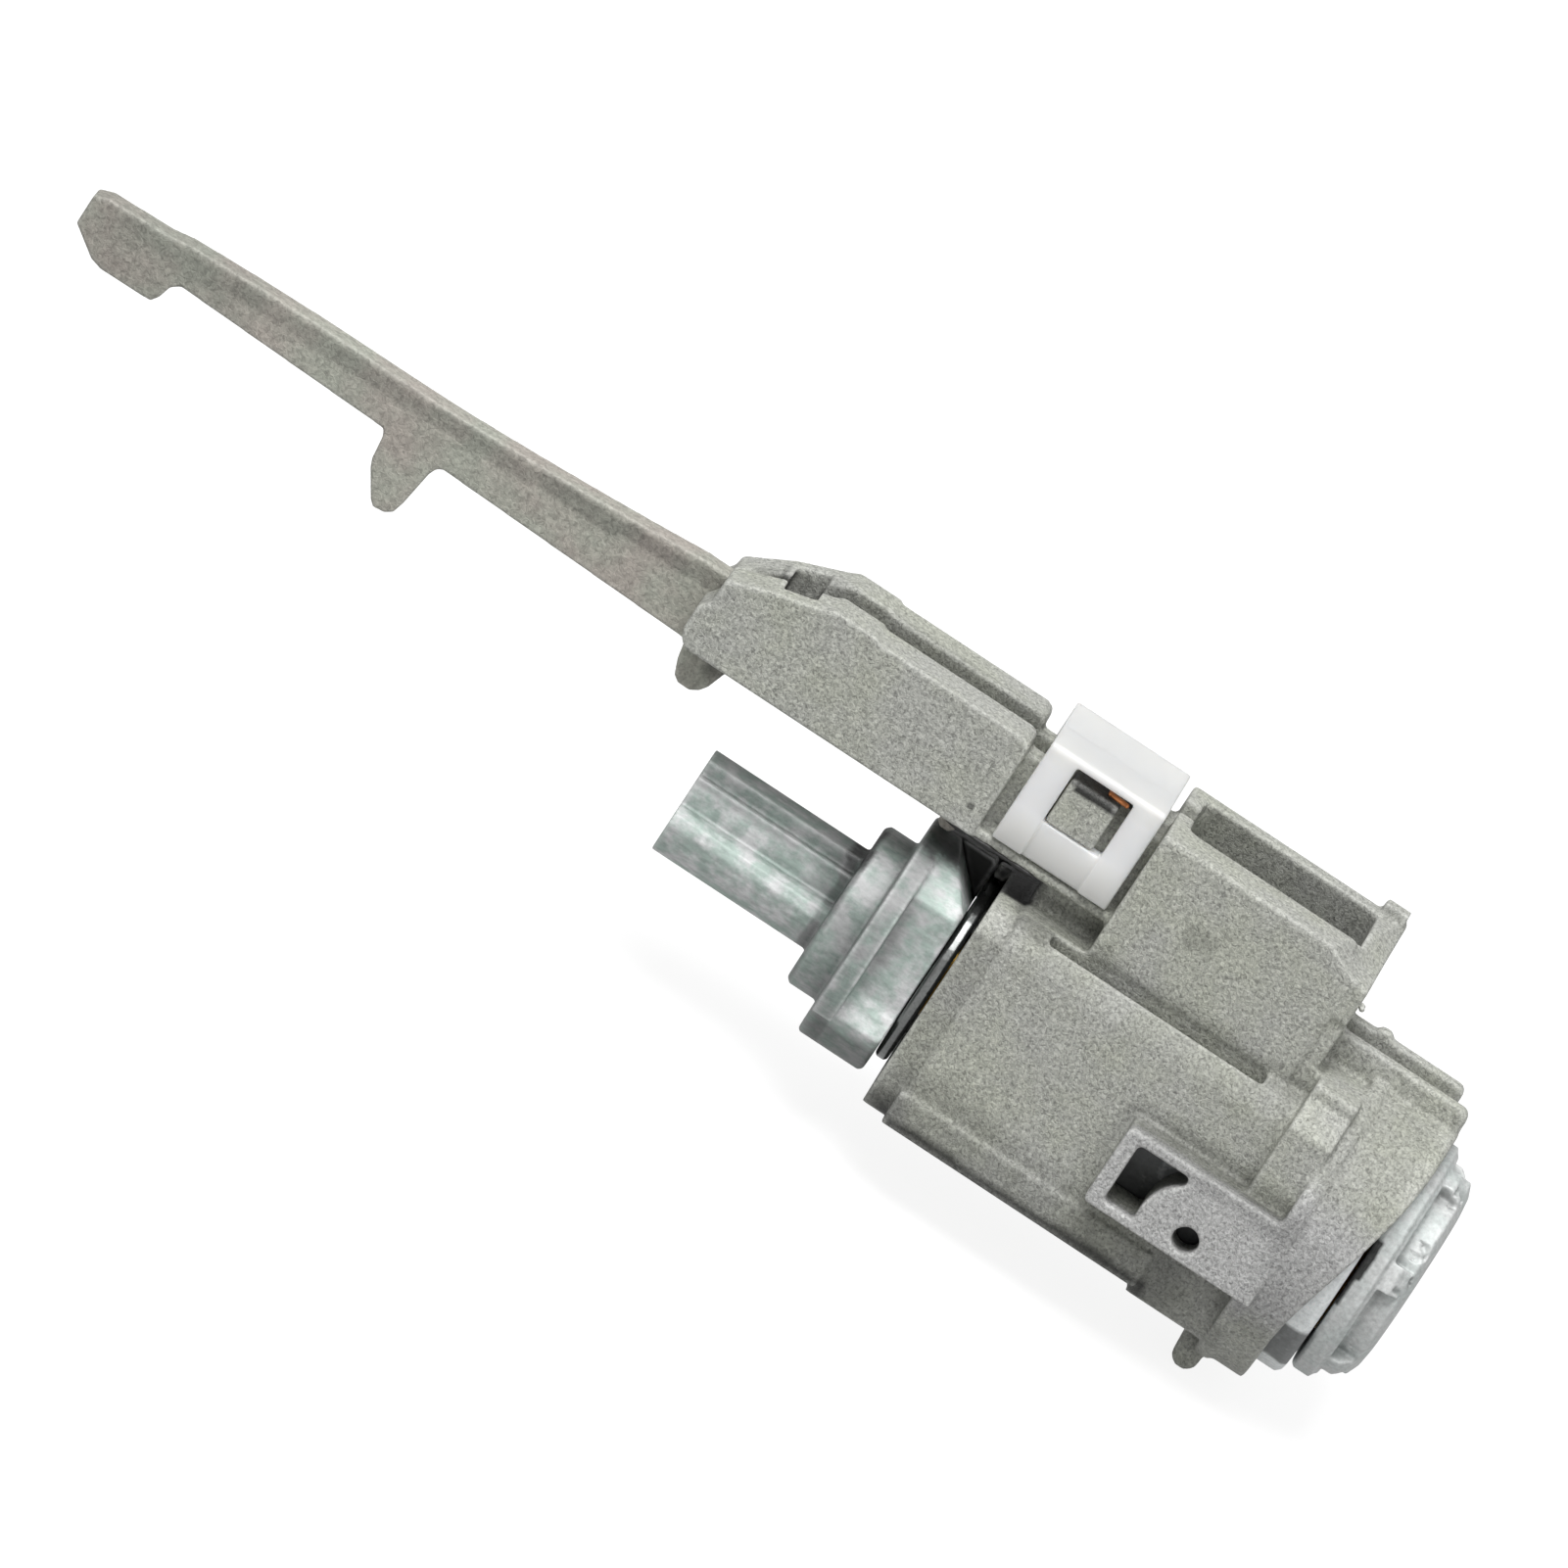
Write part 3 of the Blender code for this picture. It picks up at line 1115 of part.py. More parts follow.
def make_release_pin():
    """A hollow sprung pin behind the release hole; it holds the sleeve in."""
    tip = -BLOCK_FACE + RELEASE_HOLE_DEPTH + FIT
    floor = release_floor()
    inner_end = floor - RELEASE_PIN_TRAVEL - FIT
    bottom = tip + 1.3
    pin = cylinder("release_pin", "Y", (RELEASE_X, RELEASE_Z), RELEASE_PIN_R, tip,
                   inner_end, STEEL, 24)
    pin_bore = cylinder("pin bore", "Y", (RELEASE_X, RELEASE_Z),
                        RELEASE_SPRING_R + 2.0 * FIT, bottom, inner_end + 1.0, steps=20)
    cut(pin, pin_bore)
    base = (RELEASE_X, floor - FIT, RELEASE_Z)
    spring = coil("release_spring", base, (0, -1, 0), RELEASE_SPRING_R, 0.16,
                  floor - FIT - bottom - FIT, 4.0, STEEL, 10, 4)
    return pin, spring


make_housing()
make_lever()
make_clip()
make_lever_spring()
make_sleeve()
make_plug()
make_wafers()
make_cap()
make_shutter()
make_release_pin()
make_rotor()
make_rear_rings()
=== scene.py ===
import math

import bmesh
import bpy
from mathutils import Matrix, Vector, noise


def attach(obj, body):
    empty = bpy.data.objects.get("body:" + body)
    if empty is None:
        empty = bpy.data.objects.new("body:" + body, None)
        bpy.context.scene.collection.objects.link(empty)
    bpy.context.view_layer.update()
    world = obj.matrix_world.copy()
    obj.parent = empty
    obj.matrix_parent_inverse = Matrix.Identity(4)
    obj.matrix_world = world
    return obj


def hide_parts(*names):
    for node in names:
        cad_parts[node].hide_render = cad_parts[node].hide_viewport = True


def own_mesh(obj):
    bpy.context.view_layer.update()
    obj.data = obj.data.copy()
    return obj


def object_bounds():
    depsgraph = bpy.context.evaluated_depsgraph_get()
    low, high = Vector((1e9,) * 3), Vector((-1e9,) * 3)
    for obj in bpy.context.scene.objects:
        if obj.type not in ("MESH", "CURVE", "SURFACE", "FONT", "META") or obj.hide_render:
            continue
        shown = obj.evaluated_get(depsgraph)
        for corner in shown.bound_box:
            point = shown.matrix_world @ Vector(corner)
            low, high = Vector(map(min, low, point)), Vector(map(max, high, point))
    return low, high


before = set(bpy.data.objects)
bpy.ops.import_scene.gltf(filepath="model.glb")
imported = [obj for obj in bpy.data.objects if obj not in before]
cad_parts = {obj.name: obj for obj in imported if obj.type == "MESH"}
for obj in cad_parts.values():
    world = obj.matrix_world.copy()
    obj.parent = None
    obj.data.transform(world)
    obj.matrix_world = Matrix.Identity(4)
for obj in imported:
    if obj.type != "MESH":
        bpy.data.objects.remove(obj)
cad_box = [list(corner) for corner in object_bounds()]

# Camera. The photograph looks at the flat side of the barrel from a little above,
# through a long lens, and the picture is rolled so the key end points down and right.
MM = 0.001
ELEVATION = math.radians(19.5)
ROLL = math.radians(33.35)
VIEW_WIDTH = 160.1 * MM
VIEW_DISTANCE = 2.4
VIEW_CENTRE = Vector((-24.4 * MM, 0.0, 7.58 * MM))
SENSOR = 36.0
NEAREST = 0.05
FARTHEST = 30.0

forward = Vector((0.0, math.cos(ELEVATION), -math.sin(ELEVATION)))
level_right = Vector((1.0, 0.0, 0.0))
level_up = Vector((0.0, math.sin(ELEVATION), math.cos(ELEVATION)))
right = math.cos(ROLL) * level_right + math.sin(ROLL) * level_up
up = math.cos(ROLL) * level_up - math.sin(ROLL) * level_right

camera_data = bpy.data.cameras.new("camera")
camera_data.sensor_width = SENSOR
camera_data.lens = SENSOR * VIEW_DISTANCE / VIEW_WIDTH
camera_data.clip_start = NEAREST
camera_data.clip_end = FARTHEST
camera = bpy.data.objects.new("camera", camera_data)
turned = Matrix((right, up, -forward)).transposed().to_4x4()
camera.matrix_world = Matrix.Translation(VIEW_CENTRE - VIEW_DISTANCE * forward) @ turned
bpy.context.scene.collection.objects.link(camera)
bpy.context.scene.camera = camera


# Lock housing. One zinc pressure die casting, matt from blasting, with every edge and
# corner softened by the worn die. It carries everything else and slides into the column.
CAST_VOXEL = 0.26
CAST_PASSES = 4
CAST_FACES = 190000
CAST_GREY = "AEB0A5"
CAST_NEUTRAL = "ADAEA8"
CAST_PROUD = "B7B7B6"
# Colour of the painted shade and grime in corners and pockets
CAST_CORNER_SHADE_GRIME = "30302C"
# Colour of the edges painted lighter as highlight and wear
CAST_EDGE_LIGHT = "E3E4DF"
CAST_ROUGH = 0.52
CAST_CONTRAST = 0.5
CAST_BUMP = 1.0
CAST_RELIEF = 0.15
CAST_SHINE = 0.35
# Reach in mm and share of the wide and the near painted shade and grime, and of the edges
# painted lighter as wear and highlight
CAST_SHADE_GRIME_WIDE = (9.0, 0.2)
CAST_SHADE_GRIME_NEAR = (2.0, 0.4)
CAST_EDGE_WEAR_LIGHT = (0.7, 0.7)
# The blasted grain is really about 0.1 mm and is drawn coarser, so that it shows
GRAIN = 0.36
BLOTCH = 9.0
# Places on Y between which the proud faces turn from cast to rubbed skin
PROUD_FROM = -15.6
PROUD_TO = -17.0
WELD = 0.002
# Near-black colour of the painted shade and of old grease
SHADE_GREASE_BLACK = "131312"
# Painted shade under the guide, in the slot, box, holes and clip window, on ledges and low
# faces, with some old grease and small marks: low corner and high corner in mm, share of
# the dark, width of its fade
CAST_SHADE_GREASE = [
    ((-9.0, -5.2, 8.0), (2.9, 20.0, 16.45), 1.0, 1.0),
    ((-9.0, -2.0, 15.0), (4.0, 20.0, 17.2), 0.9, 1.5),
    ((14.0, -5.5, 16.0), (33.4, 8.0, 28.0), 0.4, 0.8),
    ((-38.5, -1.7, 17.0), (-5.0, 3.0, 27.9), 0.35, 0.8),
    ((25.0, -16.4, -5.5), (43.0, -6.0, 3.1), 0.5, 0.8),
    ((24.0, -17.0, 3.6), (43.0, -13.6, 3.9), 0.36, 2.2),
    ((2.0, -16.0, -15.0), (34.0, -12.0, -11.8), 0.85, 1.2),
    ((3.4, -11.5, 12.6), (7.2, -9.6, 14.5), 0.35, 0.8),
    ((3.0, -12.5, 10.0), (36.0, -4.0, 14.0), 0.21, 1.5),
    ((3.0, -7.6, 12.6), (11.0, -3.0, 14.5), 0.3, 1.2),
    ((44.0, -18.0, -8.0), (49.5, -4.0, 16.0), 0.17, 2.0),
    ((3.0, -14.5, -14.0), (36.0, -12.0, -8.0), 0.32, 3.0),
    ((-1.0, -14.0, -14.0), (2.9, -4.0, 10.0), 0.2, 0.6),
    ((34.0, -14.5, -14.5), (43.5, -12.5, -7.5), 0.22, 1.0),
    ((-1.0, -14.0, -15.0), (3.0, -5.0, -10.5), 0.45, 2.0),
    ((18.6, -9.8, 20.6), (20.8, -9.0, 21.9), 0.22, 0.8),
    ((-7.5, -7.6, 19.1), (-7.1, -7.0, 19.4), 0.7, 0.35),
    ((-36.0, -4.6, 19.0), (-31.2, 4.9, 25.6), 0.85, 0.6),
    ((0.0, -7.4, 27.5), (6.6, -4.0, 27.9), 0.95, 0.5),
    ((0.8, -7.4, 27.0), (5.6, -7.0, 27.6), 0.95, 0.5),
]


def srgb(code):
    """Turns an sRGB hex code into linear colour with full alpha."""
    parts = [int(code[at:at + 2], 16) / 255.0 for at in (0, 2, 4)]
    linear = [((c + 0.055) / 1.055) ** 2.4 if c > 0.04045 else c / 12.92 for c in parts]
    return (*linear, 1.0)


def add(tree, kind, links=(), **settings):
    """Adds one shader node with its settings and its input values or links."""
    made = tree.nodes.new("ShaderNode" + kind)
    for name, value in settings.items():
        setattr(made, name, value)
    for socket, value in links:
        if isinstance(value, bpy.types.NodeSocket):
            tree.links.new(value, made.inputs[socket])
        else:
            made.inputs[socket].default_value = value
    return made


def per_mm(size):
    """Texture scale, in repeats per metre, for a feature of that many millimetres."""
    return 1.0 / (size * MM)


def new_material(name):
    """An empty node material, with its output node and object coordinates."""
    look = bpy.data.materials.new(name)
    look.use_nodes = True
    look.node_tree.nodes.clear()
    out = add(look.node_tree, "OutputMaterial")
    place = add(look.node_tree, "TexCoord").outputs["Object"]
    return look, look.node_tree, out, place


def corner_shade_and_grime(tree, colour, shade_grime_colour, reach, amount):
    """Painted shade and dirt, darkening where two faces meet inwards and in deep pockets.
    """
    corner = add(tree, "AmbientOcclusion", [("Distance", reach * MM)], samples=8,
                 only_local=True)
    depth = add(tree, "MapRange", [("Value", corner.outputs["AO"]), (1, 0.15), (2, 0.9),
                                   (3, amount), (4, 0.0)])
    return add(tree, "Mix", [(0, depth.outputs[0]), (6, colour), (7, srgb(shade_grime_colour))],
               data_type="RGBA").outputs[2]


def edge_wear_and_highlight(tree, colour, edge_light, pattern, reach, amount):
    """Outward edges painted lighter, as highlight and as the polish of handling, broken up
    by a pattern.
    """
    rim = add(tree, "AmbientOcclusion", [("Distance", reach * MM)], samples=8,
              inside=True)
    thin = add(tree, "MapRange", [("Value", rim.outputs["AO"]), (1, 0.5), (2, 0.95),
                                  (3, amount), (4, 0.0)])
    broken = add(tree, "MapRange", [("Value", pattern), (1, 0.3), (2, 0.62), (3, 0.35),
                                    (4, 1.0)])
    share = add(tree, "Math", [(0, thin.outputs[0]), (1, broken.outputs[0])],
                operation="MULTIPLY")
    return add(tree, "Mix", [(0, share.outputs[0]), (6, colour), (7, srgb(edge_light))],
               data_type="RGBA").outputs[2]


def paint_shade_and_grease(tree, place, colour, pattern, patches):
    """Painted shade and old grease in fixed places: box corners in mm, the share of the
    dark, its fade.
    """
    for low, high, most, fade in patches:
        low, high = Vector(low) * MM, Vector(high) * MM
        off = add(tree, "VectorMath", [(0, place), (1, (low + high) / 2.0)],
                  operation="SUBTRACT")
        size = add(tree, "VectorMath", [(0, off.outputs[0])], operation="ABSOLUTE")
        past = add(tree, "VectorMath", [(0, size.outputs[0]), (1, (high - low) / 2.0)],
                   operation="SUBTRACT")
        outside = add(tree, "VectorMath", [(0, past.outputs[0])], operation="MAXIMUM")
        away = add(tree, "VectorMath", [(0, outside.outputs[0])], operation="LENGTH")
        ragged = add(tree, "MapRange", [("Value", pattern), (1, 0.3), (2, 0.7),
                                        (3, -0.4 * fade * MM), (4, 0.4 * fade * MM)])
        edge = add(tree, "Math", [(0, away.outputs[1]), (1, ragged.outputs[0])],
                   operation="ADD")
        share = add(tree, "MapRange", [("Value", edge.outputs[0]), (1, 0.2 * fade * MM),
                                       (2, fade * MM), (3, most), (4, 0.0)])
        colour = add(tree, "Mix", [(0, share.outputs[0]), (6, colour), (7, srgb(SHADE_GREASE_BLACK))],
                     data_type="RGBA").outputs[2]
    return colour


def cast_zinc(name, face, second, shade_grime_colour, edge_light, rough, grain, contrast, bump, shade_grease_patches):
    """Die-cast zinc: matt skin, pebbled grain, painted shade and grime in corners, painted
    highlight and wear on edges.
    """
    look, tree, out, place = new_material(name)
    blotch = add(tree, "TexNoise", [("Vector", place), ("Scale", per_mm(BLOTCH)),
                                    ("Detail", 3.0), ("Roughness", 0.6)])
    patches = add(tree, "MapRange", [("Value", blotch.outputs[0]), (1, 0.38), (2, 0.62)])
    body = add(tree, "Mix", [(0, patches.outputs[0]), (6, srgb(face)), (7, srgb(second))],
               data_type="RGBA")
    # The proud faces of the block and collar are rubbed to a plain grey
    sides = add(tree, "SeparateXYZ", [(0, place)])
    proud = add(tree, "MapRange", [("Value", sides.outputs[1]), (1, PROUD_FROM * MM),
                                   (2, PROUD_TO * MM), (3, 0.0), (4, 1.0)])
    plain = add(tree, "Mix", [(0, proud.outputs[0]), (6, body.outputs[2]),
                              (7, srgb(CAST_PROUD))], data_type="RGBA")
    pebbles = add(tree, "TexNoise", [("Vector", place), ("Scale", per_mm(grain)),
                                     ("Detail", 3.0), ("Roughness", 0.6),
                                     ("Distortion", 0.8)])
    fleck = add(tree, "MapRange", [("Value", pebbles.outputs[0]), (1, 0.3), (2, 0.7),
                                   (3, 1.0 - contrast), (4, 1.0 + contrast)])
    flecked = add(tree, "Mix", [(0, 1.0), (6, plain.outputs[2]), (7, fleck.outputs[0])],
                  data_type="RGBA", blend_type="MULTIPLY")
    # Painted shade and grime in corners and deep pockets, from occlusion
    deep_shade_grime = corner_shade_and_grime(tree, flecked.outputs[2], shade_grime_colour, *CAST_SHADE_GRIME_WIDE)
    near_shade_grime = corner_shade_and_grime(tree, deep_shade_grime, shade_grime_colour, *CAST_SHADE_GRIME_NEAR)
    # Painted shade and old grease in fixed patches
    with_shade_grease = paint_shade_and_grease(tree, place, near_shade_grime, blotch.outputs[0], shade_grease_patches)
    # Outward edges painted lighter, as highlight and as wear
    bright = edge_wear_and_highlight(tree, with_shade_grease, edge_light, pebbles.outputs[0], *CAST_EDGE_WEAR_LIGHT)
    dull = add(tree, "MapRange", [("Value", pebbles.outputs[0]), (1, 0.3), (2, 0.7),
                                  (3, rough + 0.08), (4, rough - 0.08)])
    relief = add(tree, "Bump", [("Height", pebbles.outputs[0]), ("Strength", bump),
                                ("Distance", CAST_RELIEF * MM)])
    skin = add(tree, "BsdfPrincipled", [("Base Color", bright),
                                        ("Roughness", dull.outputs[0]),
                                        ("Specular IOR Level", CAST_SHINE),
                                        ("Normal", relief.outputs[0])])
    tree.links.new(skin.outputs[0], out.inputs[0])
    return look


def softened(piece, node, body, look, voxel, passes, most):
    """The solid with cast edges: a fine even skin, relaxed, then thinned where flat."""
    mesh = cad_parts[node].data.copy()
    shape = bmesh.new()
    shape.from_mesh(mesh)
    bmesh.ops.remove_doubles(shape, verts=shape.verts, dist=WELD * MM)
    shape.to_mesh(mesh)
    shape.free()
    made = bpy.data.objects.new(piece, mesh)
    bpy.context.scene.collection.objects.link(made)
    skin = made.modifiers.new("even skin", "REMESH")
    skin.mode = "VOXEL"
    skin.voxel_size = voxel * MM
    relax = made.modifiers.new("soft edges", "SMOOTH")
    relax.factor = 0.5
    relax.iterations = passes
    bpy.context.view_layer.update()
    seen = made.evaluated_get(bpy.context.evaluated_depsgraph_get())
    faces = sum(len(p.vertices) - 2 for p in seen.data.polygons)
    thin = made.modifiers.new("fewer faces", "DECIMATE")
    thin.ratio = min(1.0, most / faces)
    bpy.context.view_layer.update()
    seen = made.evaluated_get(bpy.context.evaluated_depsgraph_get())
    final = bpy.data.meshes.new_from_object(seen)
    final.name = piece
    made.modifiers.clear()
    made.data = final
    bpy.data.meshes.remove(mesh)
    final.materials.clear()
    final.materials.append(look)
    final.polygons.foreach_set("use_smooth", [True] * len(final.polygons))
    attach(made, body)
    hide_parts(node)
    return made


cast_look = cast_zinc("die_cast_zinc", CAST_GREY, CAST_NEUTRAL, CAST_CORNER_SHADE_GRIME, CAST_EDGE_LIGHT,
                      CAST_ROUGH, GRAIN, CAST_CONTRAST, CAST_BUMP, CAST_SHADE_GREASE)
softened("housing_casting", "lock_housing", "housing", cast_look,
         CAST_VOXEL, CAST_PASSES, CAST_FACES)


# Shadow bead. A soft irregular black roll of grease under the near lower edge of the lever
# guide, over the cam disc, that stands in for the dark shadow line there; it sticks to the
# casting.
BEAD_X = (-8.6, 2.4)
BEAD_Y = -6.9
BEAD_Z = 16.4
BEAD_R = 0.34
BEAD_SIDES = 16
BEAD_STEPS = 60

# Black grease that stands in for shadow: almost no colour, with a soft wet sheen
bead_look, bead_tree, bead_out, _ = new_material("black_shadow_grease")
bead_skin = add(bead_tree, "BsdfPrincipled", [("Base Color", srgb(SHADE_GREASE_BLACK)),
                                              ("Roughness", 0.45)])
bead_tree.links.new(bead_skin.outputs[0], bead_out.inputs[0])
bead_mesh = bpy.data.meshes.new("shadow_grease_bead")
roll = bmesh.new()
bead_middle = Vector((sum(BEAD_X) / 2.0, BEAD_Y, BEAD_Z)) * MM
bmesh.ops.create_cone(roll, cap_ends=True, segments=BEAD_SIDES, radius1=BEAD_R * MM,
                      radius2=BEAD_R * MM, depth=(BEAD_X[1] - BEAD_X[0]) * MM,
                      matrix=Matrix.Translation(bead_middle)
                      @ Matrix.Rotation(math.pi / 2.0, 4, "Y"))
long_edges = [edge for edge in roll.edges
              if abs(edge.verts[0].co.x - edge.verts[1].co.x) > MM]
bmesh.ops.subdivide_edges(roll, edges=long_edges, cuts=BEAD_STEPS)
# Two waves of different length make the roll uneven, and both ends taper off
for corner in roll.verts:
    along = (corner.co.x / MM - BEAD_X[0]) / (BEAD_X[1] - BEAD_X[0])
    swell = 0.75 + 0.2 * math.sin(17.0 * along) + 0.12 * math.sin(41.0 * along + 1.0)
    swell *= min(1.0, 8.0 * along + 0.2, 8.0 * (1.0 - along) + 0.2)
    corner.co.y = BEAD_Y * MM + swell * (corner.co.y - BEAD_Y * MM)
    corner.co.z = BEAD_Z * MM + swell * (corner.co.z - BEAD_Z * MM)
roll.to_mesh(bead_mesh)
roll.free()
bead_mesh.materials.append(bead_look)
bead_mesh.polygons.foreach_set("use_smooth", [True] * len(bead_mesh.polygons))
bead = bpy.data.objects.new("shadow_grease_bead", bead_mesh)
bpy.context.scene.collection.objects.link(bead)
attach(bead, "housing")


# Casting flash. A small torn nub of zinc left on the front end of the open box, where
# the die's halves met; part of the housing casting.
NUB_PLACE = (37.1, -8.4, 24.7)
NUB_R = 0.5
NUB_LUMP = 0.4

nub_mesh = bpy.data.meshes.new("casting_flash")
lump = bmesh.new()
bmesh.ops.create_icosphere(lump, subdivisions=3, radius=NUB_R * MM)
for corner in lump.verts:
    corner.co *= 0.8 + 0.5 * noise.noise(corner.co / (NUB_LUMP * MM))
    corner.co += Vector(NUB_PLACE) * MM
lump.to_mesh(nub_mesh)
lump.free()
nub_mesh.materials.append(cast_look)
nub_mesh.polygons.foreach_set("use_smooth", [True] * len(nub_mesh.polygons))
nub = bpy.data.objects.new("casting_flash", nub_mesh)
bpy.context.scene.collection.objects.link(nub)
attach(nub, "housing")


# Lock lever. A smoother zinc casting with a slightly darker skin, a hook and a lobe
# under it; it rocks on the trunnion in the guide as the cam lifts its foot.
LEVER_GREY = "A5A79C"
LEVER_NEUTRAL = "A7A199"
# Colour of the painted shade and grime in corners and pockets
LEVER_CORNER_SHADE_GRIME = "30302C"
# Colour of the edges painted lighter as highlight and wear
LEVER_EDGE_LIGHT = "CACAC2"
# Painted shade near the pivot under the guide, and oil towards the tip
LEVER_SHADE_OIL = [
    ((-37.0, -5.0, 14.0), (-30.0, 5.0, 25.5), 0.55, 1.2),
    ((-118.0, -5.0, 5.0), (-100.0, 5.0, 35.0), 0.16, 6.0),
]
# Painted shade as dark streaks under the bowed upper edge: from, to, height of the edge,
# share
LEVER_SHADE_STREAKS = [
    (-112.0, -100.0, 21.1, 0.15), (-99.0, -87.0, 21.7, 0.25), (-86.0, -75.0, 21.8, 0.3),
    (-74.0, -63.0, 22.1, 0.28), (-62.0, -53.0, 22.6, 0.38), (-52.0, -45.0, 23.2, 0.42),
    (-44.0, -36.0, 23.5, 0.3),
]
STREAK_DEPTH = (1.9, 1.0)
STREAK_Y = (-1.5, -1.1)
STREAK_FADE = 0.75
for start, end, edge, share in LEVER_SHADE_STREAKS:
    LEVER_SHADE_OIL.append(((start, STREAK_Y[0], edge - STREAK_DEPTH[0]),
                      (end, STREAK_Y[1], edge - STREAK_DEPTH[1]), share, STREAK_FADE))
LEVER_ROUGH = 0.46
LEVER_GRAIN = 0.5
LEVER_CONTRAST = 0.32
LEVER_BUMP = 0.8
LEVER_VOXEL = 0.16
LEVER_PASSES = 5
LEVER_FACES = 90000

lever_look = cast_zinc("smooth_cast_zinc", LEVER_GREY, LEVER_NEUTRAL, LEVER_CORNER_SHADE_GRIME,
                       LEVER_EDGE_LIGHT, LEVER_ROUGH, LEVER_GRAIN, LEVER_CONTRAST, LEVER_BUMP,
                       LEVER_SHADE_OIL)
softened("lever_casting", "lock_lever", "lever", lever_look, LEVER_VOXEL,
         LEVER_PASSES, LEVER_FACES)


# Retaining clip. Moulded natural nylon that snaps over the boss on each side of the
# guide; it lets a little light through, so its edges glow and its faces stay soft.
NYLON = "FAFAF8"
NYLON_SHADE = "CBCBC8"
# Height of the clip's middle, and how far from it the painted shade on the nylon starts
# and ends
NYLON_MIDDLE = 25.0
NYLON_LIT = 2.5
NYLON_SHADED = 6.5
NYLON_ROUGH = 0.42
NYLON_IOR = 1.53
NYLON_DEPTH = 2.5
NYLON_DRAG = 0.5
NYLON_RELIEF = 0.05
NYLON_VOXEL = 0.14
NYLON_PASSES = 4
NYLON_FACES = 60000


def nylon(name):
    """Natural nylon: milky, with painted shade towards its top and foot, light under the
    skin.
    """
    look, tree, out, place = new_material(name)
    height = add(tree, "SeparateXYZ", [(0, place)])
    level = add(tree, "Math", [(0, height.outputs[2]), (1, NYLON_MIDDLE * MM)],
                operation="SUBTRACT")
    ends = add(tree, "Math", [(0, level.outputs[0])], operation="ABSOLUTE")
    shaded_ends = add(tree, "MapRange", [("Value", ends.outputs[0]), (1, NYLON_LIT * MM),
                                     (2, NYLON_SHADED * MM)])
    milk = add(tree, "Mix", [(0, shaded_ends.outputs[0]), (6, srgb(NYLON)),
                             (7, srgb(NYLON_SHADE))], data_type="RGBA")
    drag = add(tree, "TexNoise", [("Vector", place), ("Scale", per_mm(NYLON_DRAG)),
                                  ("Detail", 3.0)])
    relief = add(tree, "Bump", [("Height", drag.outputs[0]), ("Strength", 0.15),
                                ("Distance", NYLON_RELIEF * MM)])
    skin = add(tree, "BsdfPrincipled", [("Base Color", milk.outputs[2]),
                                        ("Roughness", NYLON_ROUGH), ("IOR", NYLON_IOR),
                                        ("Subsurface Weight", 1.0),
                                        ("Subsurface Radius", (1.0, 0.95, 0.9)),
                                        ("Subsurface Scale", NYLON_DEPTH * MM),
                                        ("Normal", relief.outputs[0])])
    tree.links.new(skin.outputs[0], out.inputs[0])
    return look


nylon_look = nylon("natural_nylon")
softened("nylon_clip", "retaining_clip", "housing", nylon_look,
         NYLON_VOXEL, NYLON_PASSES, NYLON_FACES)


# Springs, release pin, thrust washer and spring ring. Drawn wire and pressed strip: the
# lever's spring is copper-coloured bronze, the other springs and the ring bright steel;
# the washer is oily, the pin blackened. Each coil sits between the parts it pushes.
STEEL = "B9BABC"
OILY_STEEL = "7C7E7D"
BLACK_STEEL = "3A3B3B"
BRONZE = "B5764C"
# The coil's upper end runs out over the ledge and shows in the clip's window
LEG_PATH = [(4.0, 0.25, 28.42), (3.9, -6.75, 28.42), (5.9, -6.9, 28.35)]
LEG_R = 0.28
LEG_SIDES = 14
LEG_RINGS = 8
STEEL_ROUGH = 0.3
BLACK_ROUGH = 0.4
BRONZE_ROUGH = 0.32
# Drawing lines are really some hundredths of a mm and are drawn coarser, to show
DRAW_LINE = 0.3
DRAW_RELIEF = 0.03
# How lines are drawn out on each axis: on none, or on the upright one
EVEN = (1.0, 1.0, 1.0)
UPRIGHT = (1.0, 1.0, 0.2)
WASHER_VOXEL = 0.12
WASHER_FACES = 40000
RING_VOXEL = 0.1
RING_FACES = 16000
STRIP_PASSES = 2


def drawn_metal(name, code, rough, along):
    """Drawn or pressed metal: a clean shine broken by lines; along stretches them."""
    look, tree, out, place = new_material(name)
    stretch = add(tree, "Mapping", [("Vector", place), ("Scale", along)])
    lines = add(tree, "TexNoise", [("Vector", stretch.outputs[0]),
                                   ("Scale", per_mm(DRAW_LINE)), ("Detail", 3.0)])
    tone = add(tree, "MapRange", [("Value", lines.outputs[0]), (1, 0.3), (2, 0.7),
                                  (3, 0.8), (4, 1.1)])
    colour = add(tree, "Mix", [(0, 1.0), (6, srgb(code)), (7, tone.outputs[0])],
                 data_type="RGBA", blend_type="MULTIPLY")
    gloss = add(tree, "MapRange", [("Value", lines.outputs[0]), (3, rough - 0.08),
                                   (4, rough + 0.1)])
    relief = add(tree, "Bump", [("Height", lines.outputs[0]), ("Strength", 0.2),
                                ("Distance", DRAW_RELIEF * MM)])
    skin = add(tree, "BsdfPrincipled", [("Base Color", colour.outputs[2]),
                                        ("Roughness", gloss.outputs[0]),
                                        ("Metallic", 1.0), ("Normal", relief.outputs[0])])
    tree.links.new(skin.outputs[0], out.inputs[0])
    return look


steel_look = drawn_metal("spring_steel", STEEL, STEEL_ROUGH, UPRIGHT)
oily_look = drawn_metal("oily_steel", OILY_STEEL, STEEL_ROUGH, EVEN)
black_look = drawn_metal("blackened_steel", BLACK_STEEL, BLACK_ROUGH, EVEN)
bronze_look = drawn_metal("bronze_wire", BRONZE, BRONZE_ROUGH, EVEN)


